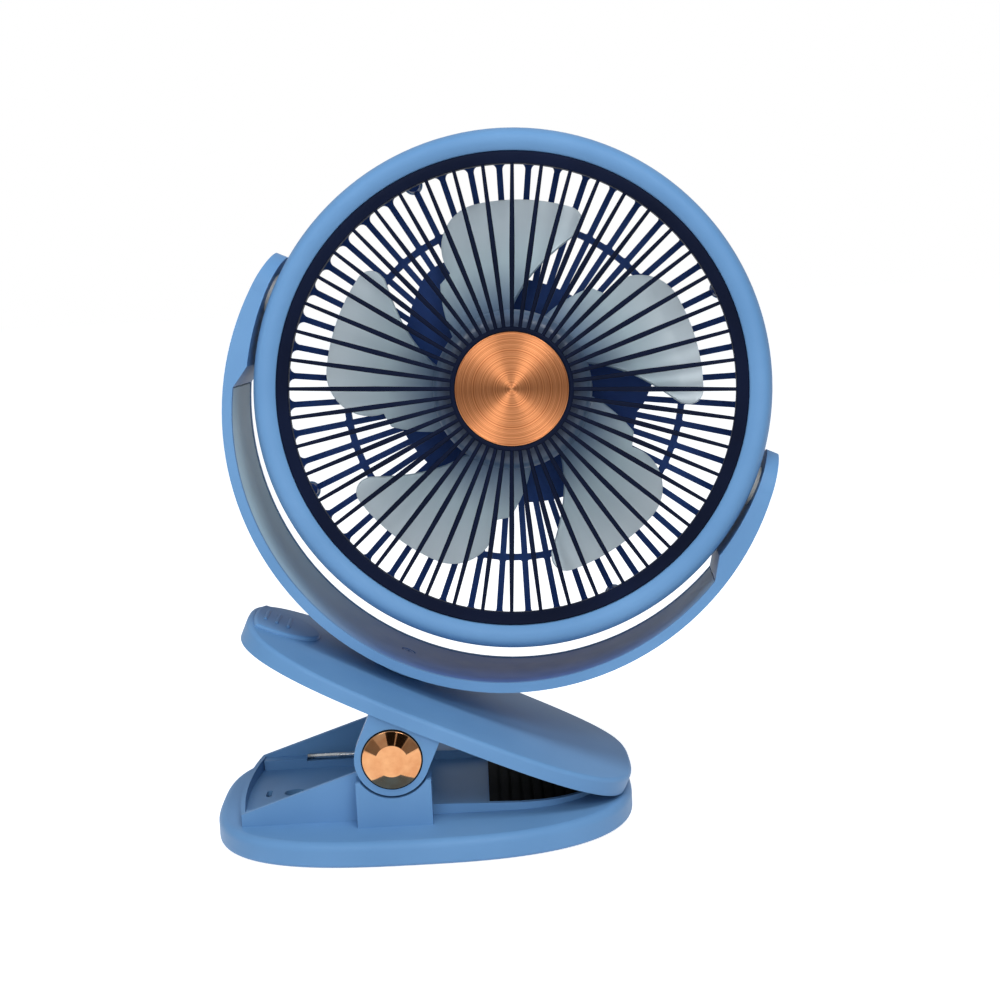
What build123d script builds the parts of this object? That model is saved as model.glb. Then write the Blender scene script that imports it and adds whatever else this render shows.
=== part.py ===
"""Clip fan: a round head tilts in a C-shaped yoke, which swivels on the upper jaw of a sprung table clip.

Frame: +X along the base towards the jaw tips, +Y away from the viewer, +Z up.
The origin is the centre of the base's underside. All lengths are in millimetres, all angles in degrees.
"""

from build123d import *
import math
import os

# ---------------------------------------------------------------- driving dimensions
# Fits and clearances
RUN_FIT = 0.05            # radial clearance of a pin or shaft that turns
SEAT_GAP = 0.3            # air between pieces that lie on each other and move
FACE_GAP = 0.15           # air round a piece set into a recess

# Base
BASE_HALF_LENGTH = 78.0
BASE_HALF_WIDTH = 65.4
BASE_POWER_TRAY = 2.9     # how square the outline is at the tray's end: 2 is an ellipse
BASE_POWER_TIP = 2.57     # and at the jaw tips' end
BASE_HEIGHT = 9.4
BASE_TOP_ROUND = 3.0
BASE_FOOT_ROUND = 1.2
BASE_WALL = 2.0
BASE_SCREW_CIRCLE_X = 48.0
BASE_SCREW_CIRCLE_Y = 32.0
BOTTOM_PLATE_THICK = 1.6
ANTI_SLIP_THICK = 1.2
ANTI_SLIP_MARGIN = 7.0
ANTI_SLIP_STAND = 0.4     # how far the rubber stands proud of the shell's lower edge
TRAY_WALL_THICK = 2.0
TRAY_WALL_INNER_Y = 37.0
TRAY_WALL_TOP_BELOW_HINGE = 4.8     # where the long walls meet the hinge hub
TRAY_END_X = -66.2
TRAY_END_HEIGHT = 4.4
TRAY_END_BULGE = 3.0
TRAY_RIM_THICK = 1.6
HANG_HOLE_X = -50.2
HANG_HOLE_RADIUS = 4.2
HANG_SLOT_RADIUS = 2.0
HANG_SLOT_LENGTH = 11.0
VENT_SLOT_X = -60.2
VENT_SLOT_LENGTH = 5.5
VENT_SLOT_RADIUS = 1.1
LEDGE_LENGTH = 17.0
LEDGE_WIDTH = 5.6
LEDGE_HEIGHT = 3.9
SHELF_END_X = -27.2
LIP_THICK = 2.0
LIP_END_RADIUS = 36.0
LIP_END_X = 68.8
LIP_HEIGHT_NEAR_HINGE = 3.8
LIP_HEIGHT_AT_END = 1.5
BASE_PAD_START_X = 23.8
BASE_PAD_THICK = 1.6
PAD_RIB_PITCH = 4.0
PAD_RIB_DEPTH = 0.7
PAD_MARGIN = 1.0

# Hinge
HINGE_X = -10.2
HINGE_Z = 34.0
HINGE_PIN_RADIUS = 2.5
HINGE_HUB_RADIUS = 9.0
HINGE_WASHER_RADIUS = 8.0
EAR_RADIUS = 13.5
EAR_OUTER_Y = 47.2
EAR_THICK = 7.2
SADDLE_GAP = 0.8
SADDLE_TOP_BELOW_HINGE = 8.0
CAP_RADIUS = 10.65
CAP_FLAT_RADIUS = 5.7
CAP_PROUD = 2.6
CAP_RIM_HEIGHT = 0.7
CAP_RECESS = 0.8

# Torsion springs
SPRING_WIRE = 2.2
SPRING_MEAN_RADIUS = 6.4
SPRING_PITCH = 2.9
SPRING_TURNS = 4          # whole turns besides the part turn between the two legs
SPRING_OUTER_Y = 33.0
SPRING_FOOT_END_X = -47.9
SPRING_LEG_SLOPE = 35.0
SPRING_BEND_RADIUS = 7.0
SPRING_REACH = 40.0

# Upper jaw
JAW_SLOPE = 24.5          # the jaw's fall towards its tip when closed
JAW_HALF_LENGTH = 77.6
JAW_HALF_WIDTH = 49.0
JAW_POWER_HANDLE = 2.7    # how square the outline is at the handle: 2 is an ellipse
JAW_POWER_TIP = 3.3       # and at the tip
JAW_CENTRE_U = 10.55
JAW_TOP = 17.55           # edge of the top face above the hinge axis
JAW_CROWN_ALONG = 0.4     # how much the top face bows from end to end
JAW_CROWN_ACROSS = 2.95   # and from side to side
JAW_EDGE_ROUND = 1.6
JAW_SKIRT_HANDLE = 4.8
JAW_SKIRT_TIP = 5.2
JAW_PLATE_THICK = 2.6
JAW_SKIRT_THICK = 2.2
JAW_COVER_THICK = 1.8
JAW_COVER_START_U = 16.0
JAW_PAD_THICK = 2.4
JAW_PAD_START_U = 32.0
JAW_PAD_FROM_TIP = 13.15
JAW_PAD_HALF_WIDTH = 34.6
THUMB_PAD_LENGTH = 40.0
THUMB_PAD_WIDTH = 35.0
THUMB_PAD_FROM_END = 8.0
THUMB_PAD_RISE = 1.4
THUMB_BAR_LENGTH = 13.0
THUMB_BAR_PITCH = 4.5
THUMB_BARS_FROM_END = 10.9
THUMB_BAR_RADIUS = 0.7
THUMB_BAR_COUNT = 3

# Swivel between jaw and yoke
STEM_U = -6.01
STEM_RADIUS = 7.0
STEM_COLLAR_RADIUS = 10.0
SWIVEL_BOSS_RADIUS = 13.0
SWIVEL_BOSS_DEPTH = 4.6    # bearing length of the stem in the jaw
SWIVEL_GAP = 4.26
SWIVEL_WASHER_RADIUS = 11.0
SWIVEL_WASHER_THICK = 1.2
SWIVEL_SPRING_THICK = 1.0
SWIVEL_SCREW_RADIUS = 2.0
SWIVEL_SCREW_HEAD_RADIUS = 4.0
SWIVEL_REST = -4.6        # how far the yoke is turned on its stem in the rest pose

# Yoke
HEAD_RADIUS = 95.0
YOKE_ROOM = 7.5           # the yoke reaches this much beyond the head
YOKE_OUTER_RADIUS = HEAD_RADIUS + YOKE_ROOM
YOKE_DROP = 7.5           # yoke circle's centre below the pivot line
YOKE_HALF_WIDTH_BOTTOM = 25.5
YOKE_HALF_WIDTH_PIVOT = 14.5
YOKE_RIM_DEPTH = 3.6
YOKE_WALL = 1.5
YOKE_LIP_THICK = 1.8
YOKE_ARM_GAP = 1.6        # air between the head and the arms
LINER_THICK = 1.2
LINER_HALF_ANGLE = 73.0
LINER_RECESS_DEPTH = 0.7
ARM_FOOT_Z = -36.0
ARM_SHOULDER_Z = -27.0
PIVOT_PIN_RADIUS = 4.0
PIVOT_HEAD_RADIUS = 6.5
PIVOT_HEAD_THICK = 1.6
PIVOT_COVER_THICK = 1.0
PIVOT_WASHER_RADIUS = 7.5
PIVOT_PIN_INTO_HEAD = 8.0
HEAD_TILT_REST = -4.5     # rotation about the pivot line in the rest pose: the face looks up

# Head
HEAD_WALL = 2.2
BEZEL_JOINT_Y = -8.0
BEZEL_FRONT_Y = -19.0
BEZEL_INNER_RADIUS = HEAD_RADIUS - 9.0
BEZEL_NOSE_RADIUS = HEAD_RADIUS - 5.0
BEZEL_INNER_Y = -17.2
SPIGOT_LENGTH = 3.0
REAR_FACE_Y = 26.0
REAR_LIP_THICK = 2.6
REAR_LIP_RADIUS = HEAD_RADIUS - 7.4
PIVOT_BOSS_RADIUS = 6.6
PIVOT_BOSS_DEPTH = 10.4
GRILLE_THICK = 3.0
GRILLE_RIM_INNER_RADIUS = HEAD_RADIUS - 13.7
GRILLE_SEAT_OVERLAP = 2.5
GRILLE_SET_BACK = 1.2
GRILLE_RIB_COUNT = 48
GRILLE_RIB_PHASE = -0.7
RIB_WIDTH_AT_HUB = 1.3
RIB_WIDTH_MIDDLE = 1.9
RIB_WIDTH_AT_RIM = 1.25
RIB_MIDDLE_RADIUS = 50.0
RIB_DEPTH = 3.6
HUB_RING_RADIUS = 22.6
HUB_RING_DEPTH = 4.5
HUB_DISC_RADIUS = 20.7
HUB_DISC_THICK = 1.4
REAR_RIB_COUNT = 48
REAR_RIB_PHASE = 3.1
REAR_RIB_WIDTH = 2.3
REAR_GRILLE_THICK = 2.6
REAR_SLOT_OUTER_RADIUS = HEAD_RADIUS - 8.5
REAR_RING_RADIUS = 64.1
REAR_RING_WIDTH = 2.4
REAR_PLATE_RADIUS = HEAD_RADIUS - 6.0
REAR_SCREW_RADIUS = HEAD_RADIUS - 7.6
REAR_LOBE_RADIUS = 3.6
REAR_SCREW_FIRST = 6       # the rib, counted from the first, that carries the first screw

# Pod behind the rear grille
POD_HALF_WIDTH = 47.5
POD_HALF_HEIGHT = 41.5
POD_SHOULDER_LOW = 2.0
POD_SHOULDER_HIGH = 38.0
POD_CORNER_RADIUS = 14.0
POD_WALL = 2.0
POD_DEPTH = 19.0
POD_COVER_THICK = 2.2
POD_COVER_ROUND = 1.4
POD_SCREWS = ((40.0, 10.0), (30.0, -20.0))

# Motor and impeller
MOTOR_RADIUS = 15.0
MOTOR_LENGTH = 17.5
MOTOR_CAN_WALL = 1.0
MOTOR_NOSE_RADIUS = 5.0
MOTOR_NOSE_LENGTH = 3.2
MOTOR_SCREW_CIRCLE = 9.5
MOTOR_BELL_THICK = 1.5
BUSH_RADIUS = 3.0
BUSH_LENGTH = 3.0
ARMATURE_LENGTH = 9.0
WIRE_RADIUS = 0.45
MAGNET_THICK = 2.4
ARMATURE_AIR_GAP = 0.5
SHAFT_RADIUS = 1.5
SHAFT_FRONT_Y = -10.4
IMPELLER_HUB_RADIUS = 29.5
IMPELLER_HUB_WALL = 1.8
IMPELLER_FRONT_Y = -8.0
IMPELLER_HUB_DEPTH = 17.0
IMPELLER_TIP_RADIUS = 70.5
IMPELLER_BOSS_RADIUS = 4.5
BLADE_COUNT = 5
BLADE_FIRST_ANGLE = 113.0
BLADE_THICK = 1.3
BLADE_SPAN_ANGLE = 48.0
BLADE_ROOT_LEAD = 24.0    # how far the blade's middle runs ahead at the root
BLADE_STRAIGHT_RADIUS = 63.0
BLADE_MIDDLE_Y = 2.5
BLADE_PITCH = 13.0        # axial rise across a blade
BLADE_CAMBER = 1.6
BLADE_TIP_CORNER = 16.0
BLADE_TIP_CORNER_TRAILING = 5.5
IMPELLER_HUB_ROUND = 5.0
BLADE_SHEET_HALF_WIDTH = 33.0
NUT_RADIUS = 5.0
NUT_LENGTH = 3.0

# Electrics
CELL_RADIUS = 9.2
CELL_LENGTH = 65.0
CELL_Z = 25.5
BOARD_WIDTH = 44.0
BOARD_TOP_Z = -19.0
BOARD_THICK = 1.6
BOARD_Y = 34.0
SOCKET_WIDTH = 9.0
SOCKET_HEIGHT = 3.2
SOCKET_DEPTH = 7.4
SOCKET_WALL = 0.4
BUTTON_RADIUS = 4.5
BUTTON_PROUD = 1.2
BUTTON_TRAVEL = 0.6
LIGHT_PIPE_RADIUS = 1.2
SWITCH_SIZE = 6.0
SWITCH_HEIGHT = 3.0
BUTTON_Z = -27.0
LIGHT_PIPE_Z = -18.0

# Screws
SCREW_RADIUS = 1.3
SCREW_HEAD_RADIUS = 2.5
SCREW_HEAD_HEIGHT = 1.6
SCREW_BOSS_RADIUS = 3.2
BASE_SCREW_HEAD_HEIGHT = 0.8

# Cutting bodies
FAR = 3 * HEAD_RADIUS     # farther than any piece reaches

OVAL_POINTS = 48          # points of the base's and the jaw's closed outlines

# ---------------------------------------------------------------- frames
JAW_FRAME = Pos(HINGE_X, 0, HINGE_Z) * Rot(0, JAW_SLOPE, 0)
JAW_CROWN_TOP = JAW_TOP + JAW_CROWN_ALONG + JAW_CROWN_ACROSS
JAW_TIP_U = JAW_CENTRE_U + JAW_HALF_LENGTH
JAW_PAD_END_U = JAW_TIP_U - JAW_PAD_FROM_TIP
THUMB_PAD_U = JAW_CENTRE_U - JAW_HALF_LENGTH + THUMB_PAD_FROM_END
THUMB_BARS_U = JAW_CENTRE_U - JAW_HALF_LENGTH + THUMB_BARS_FROM_END
PIVOT_HEIGHT = JAW_CROWN_TOP + SWIVEL_GAP + YOKE_OUTER_RADIUS + YOKE_DROP
YOKE_FRAME = JAW_FRAME * Pos(STEM_U, 0, PIVOT_HEIGHT) * Rot(0, 0, SWIVEL_REST)
HEAD_FRAME = YOKE_FRAME * Rot(HEAD_TILT_REST, 0, 0)


# ---------------------------------------------------------------- helpers
def cylinder_y(radius, y0, y1, x=0.0, z=0.0):
    """A cylinder along Y from y0 to y1."""
    length = abs(y1 - y0)
    turned = Rot(90, 0, 0) * Cylinder(radius, length)
    return Pos(x, (y0 + y1) / 2, z) * turned


def cylinder_x(radius, x0, x1, y=0.0, z=0.0):
    """A cylinder along X from x0 to x1."""
    turned = Rot(0, 90, 0) * Cylinder(radius, abs(x1 - x0))
    return Pos((x0 + x1) / 2, y, z) * turned


def cylinder_z(radius, z0, z1, x=0.0, y=0.0):
    """A cylinder along Z from z0 to z1."""
    return Pos(x, y, (z0 + z1) / 2) * Cylinder(radius, abs(z1 - z0))


def box(x0, x1, y0, y1, z0, z1):
    """A box given by its two corners."""
    size = Box(abs(x1 - x0), abs(y1 - y0), abs(z1 - z0))
    return Pos((x0 + x1) / 2, (y0 + y1) / 2, (z0 + z1) / 2) * size


def polar(radius, angle):
    """A point of the XZ plane at an angle from +X."""
    turn = math.radians(angle)
    return (radius * math.cos(turn), radius * math.sin(turn))


def face_xz(face, y0, y1):
    """Extrudes a face drawn in x and z along Y from y0 to y1."""
    standing = Rot(90, 0, 0) * face
    return Pos(0, y1, 0) * extrude(standing, amount=y1 - y0, dir=(0, -1, 0))


def wire_face(*edges):
    """A face inside the edges, which join end to end."""
    return make_face(Curve() + list(edges))


def oval_face(half_length, half_width, power_left, power_right, inset=0.0):
    """An oval with squared corners, drawn in a distance from its edge, on one closed curve."""
    points = []
    for index in range(OVAL_POINTS):
        turn = 2 * math.pi * index / OVAL_POINTS
        cosine = math.cos(turn)
        sine = math.sin(turn)
        power = power_right if cosine > 0 else power_left
        x = math.copysign(half_length * abs(cosine) ** (2 / power), cosine)
        y = math.copysign(half_width * abs(sine) ** (2 / power), sine)
        slope_x = math.copysign(abs(x / half_length) ** (power - 1) / half_length, x)
        slope_y = math.copysign(abs(y / half_width) ** (power - 1) / half_width, y)
        steep = math.hypot(slope_x, slope_y)
        points.append((x - inset * slope_x / steep, y - inset * slope_y / steep))
    return make_face(Spline(*points, periodic=True))


def edges_at(shape, axis, level, tolerance=0.01):
    """The edges whose middle lies at a level of an axis and that are flat across it."""
    picked = shape.edges().filter_by_position(axis, level - tolerance, level + tolerance)
    return picked


def screw(length, head_height=SCREW_HEAD_HEIGHT):
    """A pan-head screw pointing up +Z with its head's seat at z = 0."""
    shank = cylinder_z(SCREW_RADIUS, -0.2, length)
    head = cylinder_z(SCREW_HEAD_RADIUS, -head_height, 0)
    head = fillet(edges_at(head, Axis.Z, -head_height), head_height * 0.375)
    slot_depth = head_height * 0.5
    cross = box(-1.5, 1.5, -0.25, 0.25, -head_height - 1, slot_depth - head_height)
    return head + shank - cross - Rot(0, 0, 90) * cross


def group(solids):
    """Separate solids kept together as one node."""
    return Compound(children=list(solids))


# ---------------------------------------------------------------- base
SHELL_Z0 = ANTI_SLIP_STAND
PLATE_TOP = BASE_HEIGHT
INNER_TOP = PLATE_TOP - BASE_WALL
BOTTOM_PLATE_TOP = SHELL_Z0 + ANTI_SLIP_THICK - ANTI_SLIP_STAND + BOTTOM_PLATE_THICK
BOTTOM_SCREW_SEAT = BOTTOM_PLATE_TOP - 0.7
SADDLE_OUTER_Y = EAR_OUTER_Y + 0.6
EAR_INNER_Y = EAR_OUTER_Y - EAR_THICK
TRAY_WALL_OUTER_Y = TRAY_WALL_INNER_Y + TRAY_WALL_THICK


def base_outline(inset=0.0):
    return oval_face(BASE_HALF_LENGTH, BASE_HALF_WIDTH, BASE_POWER_TRAY, BASE_POWER_TIP, inset)


def tray_wall_profile():
    """The long wall beside the tray, rising from its low end to the hinge hub."""
    wall_top = HINGE_Z - 1.0
    root = PLATE_TOP - 0.5
    slope_top = (HINGE_X - HINGE_HUB_RADIUS + 0.6, HINGE_Z - TRAY_WALL_TOP_BELOW_HINGE)
    sheet = make_face(
        Polyline(
            (TRAY_END_X, root),
            (TRAY_END_X, PLATE_TOP + TRAY_END_HEIGHT),
            slope_top,
            (HINGE_X + HINGE_HUB_RADIUS - 1.0, wall_top),
            (HINGE_X + EAR_RADIUS, root),
            close=True,
        )
    )
    hub = Pos(HINGE_X, HINGE_Z) * Circle(HINGE_HUB_RADIUS)
    return sheet + hub


def tray_walls():
    profile = tray_wall_profile()
    near = face_xz(profile, -TRAY_WALL_OUTER_Y, -TRAY_WALL_INNER_Y)
    far = face_xz(profile, TRAY_WALL_INNER_Y, TRAY_WALL_OUTER_Y)
    return near + far


def tray_rim():
    """The low wall across the tray's end, bowed outwards."""
    half = TRAY_WALL_OUTER_Y
    outer_x = TRAY_END_X - TRAY_END_BULGE
    inner_x = outer_x + TRAY_RIM_THICK
    inner_end_x = TRAY_END_X + TRAY_RIM_THICK
    face = wire_face(
        ThreePointArc((TRAY_END_X, -half), (outer_x, 0), (TRAY_END_X, half)),
        Line((TRAY_END_X, half), (inner_end_x, half)),
        ThreePointArc((inner_end_x, half), (inner_x, 0), (inner_end_x, -half)),
        Line((inner_end_x, -half), (TRAY_END_X, -half)),
    )
    return Pos(0, 0, PLATE_TOP - 0.5) * extrude(face, amount=TRAY_END_HEIGHT + 0.5)


def saddles():
    """The blocks under the ears, hollowed round the hinge."""
    top = HINGE_Z - SADDLE_TOP_BELOW_HINGE
    x0 = HINGE_X - EAR_RADIUS
    x1 = HINGE_X + EAR_RADIUS
    blocks = []
    for side in (-1, 1):
        block = box(x0, x1, side * (TRAY_WALL_INNER_Y + 0.5), side * SADDLE_OUTER_Y, PLATE_TOP - 0.5, top)
        y0 = side * TRAY_WALL_OUTER_Y
        y1 = side * (SADDLE_OUTER_Y + 1)
        block -= cylinder_y(EAR_RADIUS + SADDLE_GAP, y0, y1, HINGE_X, HINGE_Z)
        blocks.append(block)
    return blocks[0] + blocks[1]


def spring_seats():
    """Beside each long wall: a ledge that stops the spring's foot, and the lower shelf the foot lies on."""
    x0 = TRAY_END_X + 1.0
    x1 = x0 + LEDGE_LENGTH
    shelf_height = SPRING_FOOT_Z - SPRING_WIRE / 2 - SEAT_GAP - PLATE_TOP
    seats = []
    for side in (-1, 1):
        y0 = side * (TRAY_WALL_INNER_Y - LEDGE_WIDTH)
        y1 = side * (TRAY_WALL_INNER_Y + 0.5)
        ledge = box(x0, x1, y0, y1, PLATE_TOP - 0.5, PLATE_TOP + LEDGE_HEIGHT)
        shelf = box(x1 - 0.5, SHELF_END_X, y0, y1, PLATE_TOP - 0.5, PLATE_TOP + shelf_height)
        seats.append(ledge + shelf)
    return seats[0] + seats[1]


def lip():
    """The low raised edge round the clamping face, falling towards the tip."""
    centre = LIP_END_X - LIP_END_RADIUS
    x0 = HINGE_X + EAR_RADIUS - 0.5

    def d_shape(radius):
        round_end = Pos(centre, 0) * Circle(radius)
        straight = Pos((x0 + centre) / 2, 0) * Rectangle(centre - x0, 2 * radius)
        return round_end + straight

    ring = d_shape(LIP_END_RADIUS) - d_shape(LIP_END_RADIUS - LIP_THICK)
    half_plane = Pos(x0 + FAR / 2, 0) * Rectangle(FAR, FAR)
    ring = ring & half_plane
    wall = Pos(0, 0, PLATE_TOP - 0.5) * extrude(ring, amount=LIP_HEIGHT_NEAR_HINGE + 2)
    slope = make_face(
        Polyline(
            (x0 - 1, PLATE_TOP - 1),
            (x0 - 1, PLATE_TOP + LIP_HEIGHT_NEAR_HINGE),
            (LIP_END_X + 1, PLATE_TOP + LIP_HEIGHT_AT_END),
            (LIP_END_X + 1, PLATE_TOP - 1),
            close=True,
        )
    )
    return wall & face_xz(slope, -FAR, FAR)


def hang_slots(z0, z1, extra=0.0):
    """The keyhole for hanging the base on a wall, and the vent slot beside it."""
    radius = HANG_HOLE_RADIUS + extra
    keyhole = cylinder_z(radius, z0, z1, HANG_HOLE_X)
    slot_end = HANG_HOLE_X + HANG_SLOT_LENGTH
    half = HANG_SLOT_RADIUS + extra
    keyhole += box(HANG_HOLE_X, slot_end, -half, half, z0, z1)
    keyhole += cylinder_z(half, z0, z1, slot_end)
    vent_half = VENT_SLOT_RADIUS + extra
    y_half = VENT_SLOT_LENGTH / 2
    vent = box(VENT_SLOT_X - vent_half, VENT_SLOT_X + vent_half, -y_half, y_half, z0, z1)
    for side in (-1, 1):
        vent += cylinder_z(vent_half, z0, z1, VENT_SLOT_X, side * y_half)
    return keyhole, vent


def base_screw_points():
    return [(sx * BASE_SCREW_CIRCLE_X, sy * BASE_SCREW_CIRCLE_Y) for sx in (-1, 1) for sy in (-1, 1)]


def base_shell():
    body = Pos(0, 0, SHELL_Z0) * extrude(base_outline(), amount=PLATE_TOP - SHELL_Z0)
    body = fillet(edges_at(body, Axis.Z, PLATE_TOP), BASE_TOP_ROUND)
    body = fillet(edges_at(body, Axis.Z, SHELL_Z0), BASE_FOOT_ROUND)
    inner = Pos(0, 0, -1) * extrude(base_outline(BASE_WALL), amount=INNER_TOP + 1)
    inner = fillet(edges_at(inner, Axis.Z, INNER_TOP), BASE_TOP_ROUND - BASE_WALL)
    body -= inner
    for x, y in base_screw_points():
        body += cylinder_z(SCREW_BOSS_RADIUS, BOTTOM_PLATE_TOP, INNER_TOP + 0.5, x, y)
    body += tray_walls()
    body += tray_rim()
    body += saddles()
    body += spring_seats()
    body += lip()
    for x, y in base_screw_points():
        body -= cylinder_z(SCREW_RADIUS, 0, INNER_TOP - 1, x, y)
    keyhole, vent = hang_slots(INNER_TOP - 1, PLATE_TOP + 1)
    body -= keyhole
    body -= vent
    body -= cylinder_y(HINGE_PIN_RADIUS, -FAR, FAR, HINGE_X, HINGE_Z)
    return body


def bottom_plate():
    inset = BASE_WALL + FACE_GAP
    plate = extrude(base_outline(inset), amount=BOTTOM_PLATE_THICK)
    plate = Pos(0, 0, BOTTOM_PLATE_TOP - BOTTOM_PLATE_THICK) * plate
    for x, y in base_screw_points():
        plate -= cylinder_z(SCREW_RADIUS + 0.2, 0, BASE_HEIGHT, x, y)
        plate -= cylinder_z(SCREW_HEAD_RADIUS + 0.2, 0, BOTTOM_SCREW_SEAT, x, y)
    for cut in hang_slots(0, BASE_HEIGHT):
        plate -= cut
    return plate


def base_screws():
    length = INNER_TOP - 2 - BOTTOM_SCREW_SEAT
    one = screw(length, BASE_SCREW_HEAD_HEIGHT)
    return group([Pos(x, y, BOTTOM_SCREW_SEAT) * one for x, y in base_screw_points()])


def anti_slip_pad():
    sheet = extrude(base_outline(ANTI_SLIP_MARGIN), amount=ANTI_SLIP_THICK)
    for cut in hang_slots(-1, BASE_HEIGHT, 1.0):
        sheet -= cut
    return chamfer(edges_at(sheet, Axis.Z, 0), 0.4)


def base_pad():
    """The rubber sheet inside the lip, with grip ribs across it."""
    centre = LIP_END_X - LIP_END_RADIUS
    radius = LIP_END_RADIUS - LIP_THICK - PAD_MARGIN
    shape = Pos(centre, 0) * Circle(radius)
    shape += Pos(centre / 2, 0) * Rectangle(centre, 2 * radius)
    end_x = LIP_END_X - LIP_THICK - PAD_MARGIN
    middle = (BASE_PAD_START_X + end_x) / 2
    shape = shape & (Pos(middle, 0) * Rectangle(end_x - BASE_PAD_START_X, 4 * radius))
    pad = Pos(0, 0, PLATE_TOP) * extrude(shape, amount=BASE_PAD_THICK)
    groove_count = int((end_x - BASE_PAD_START_X) / PAD_RIB_PITCH)
    top = PLATE_TOP + BASE_PAD_THICK
    for index in range(1, groove_count):
        x = BASE_PAD_START_X + index * PAD_RIB_PITCH
        pad -= box(x - 0.6, x + 0.6, -2 * radius, 2 * radius, top - PAD_RIB_DEPTH, top + 1)
    return pad


# ---------------------------------------------------------------- hinge
def hinge_pin():
    half = EAR_OUTER_Y - CAP_RECESS - 0.2
    pin = cylinder_y(HINGE_PIN_RADIUS, -half, half)
    pin = chamfer(pin.edges().filter_by(GeomType.CIRCLE), 0.5)
    return Pos(HINGE_X, 0, HINGE_Z) * pin


def hinge_washers():
    """A nylon washer between each tray wall and the ear beside it."""
    rings = []
    for side in (-1, 1):
        y0 = side * (TRAY_WALL_OUTER_Y + FACE_GAP)
        y1 = side * (EAR_INNER_Y - FACE_GAP)
        ring = cylinder_y(HINGE_WASHER_RADIUS, y0, y1)
        ring -= cylinder_y(HINGE_PIN_RADIUS + RUN_FIT, y0 * 0.9, y1 * 1.1)
        rings.append(Pos(HINGE_X, 0, HINGE_Z) * ring)
    return group(rings)


def hinge_cap(side):
    """A bevelled cap with a flat middle, set into the ear."""
    seat = EAR_OUTER_Y - CAP_RECESS
    crown = EAR_OUTER_Y + CAP_PROUD
    rim = EAR_OUTER_Y + CAP_RIM_HEIGHT
    profile = make_face(
        Polyline(
            (0, seat),
            (CAP_RADIUS, seat),
            (CAP_RADIUS, rim),
            (CAP_FLAT_RADIUS, crown),
            (0, crown),
            close=True,
        )
    )
    cap = revolve(profile, Axis.Y, 360)
    cap = fillet(edges_at(cap, Axis.Y, rim), 0.4)
    cap = fillet(edges_at(cap, Axis.Y, crown), 0.4)
    if side < 0:
        cap = Rot(0, 0, 180) * cap
    return Pos(HINGE_X, 0, HINGE_Z) * cap


# ---------------------------------------------------------------- torsion springs
SPRING_FOOT_Z = PLATE_TOP + 4.4


def tangent_angle_from(target_x, target_z, radius):
    """The angle on a circle about the origin where a line to the target leaves it running anticlockwise."""
    distance = math.hypot(target_x, target_z)
    return math.degrees(math.atan2(target_z, target_x) - math.acos(radius / distance))


def helix_point(angle, y_start, y_step):
    x, z = polar(SPRING_MEAN_RADIUS, angle)
    return Vector(x, y_start + y_step * (angle - SPRING_START_ANGLE) / 360, z)


def helix_tangent(angle, y_step):
    x, z = polar(SPRING_MEAN_RADIUS, angle + 90)
    return Vector(x, y_step / (2 * math.pi), z).normalized()


def biarc(start, start_tangent, end, end_tangent):
    """Two arcs from start to end that keep both end tangents and meet in tangency."""
    chord = end - start
    across = 2 * (1 - start_tangent.dot(end_tangent))
    along = chord.dot(start_tangent + end_tangent)
    reach = (-along + math.sqrt(along**2 + across * chord.dot(chord))) / across
    joint = (start + end + (start_tangent - end_tangent) * reach) * 0.5
    first = TangentArc(start, joint, tangent=start_tangent)
    joint_tangent = first % 1
    second = TangentArc(joint, end, tangent=joint_tangent)
    return [first, second]


SPRING_START_ANGLE = SPRING_LEG_SLOPE - 90


def jaw_surface(u, y):
    """The level of the jaw's bowed top face above the hinge axis."""
    along = (u - JAW_CENTRE_U) / JAW_HALF_LENGTH
    return JAW_CROWN_TOP - JAW_CROWN_ALONG * along**2 - JAW_CROWN_ACROSS * (y / JAW_HALF_WIDTH) ** 2


def spring_leg_end():
    """Where the upper leg ends, just under the handle's plate, from the hinge axis."""
    leg_y = SPRING_OUTER_Y - SPRING_PITCH * SPRING_TURNS
    plate_under = jaw_surface(-SPRING_REACH, leg_y) - JAW_PLATE_THICK
    height = plate_under - SPRING_WIRE / 2 - 2 * SEAT_GAP
    turn = math.radians(JAW_SLOPE)
    x = -SPRING_REACH * math.cos(turn) + height * math.sin(turn)
    z = SPRING_REACH * math.sin(turn) + height * math.cos(turn)
    return x, z


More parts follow.
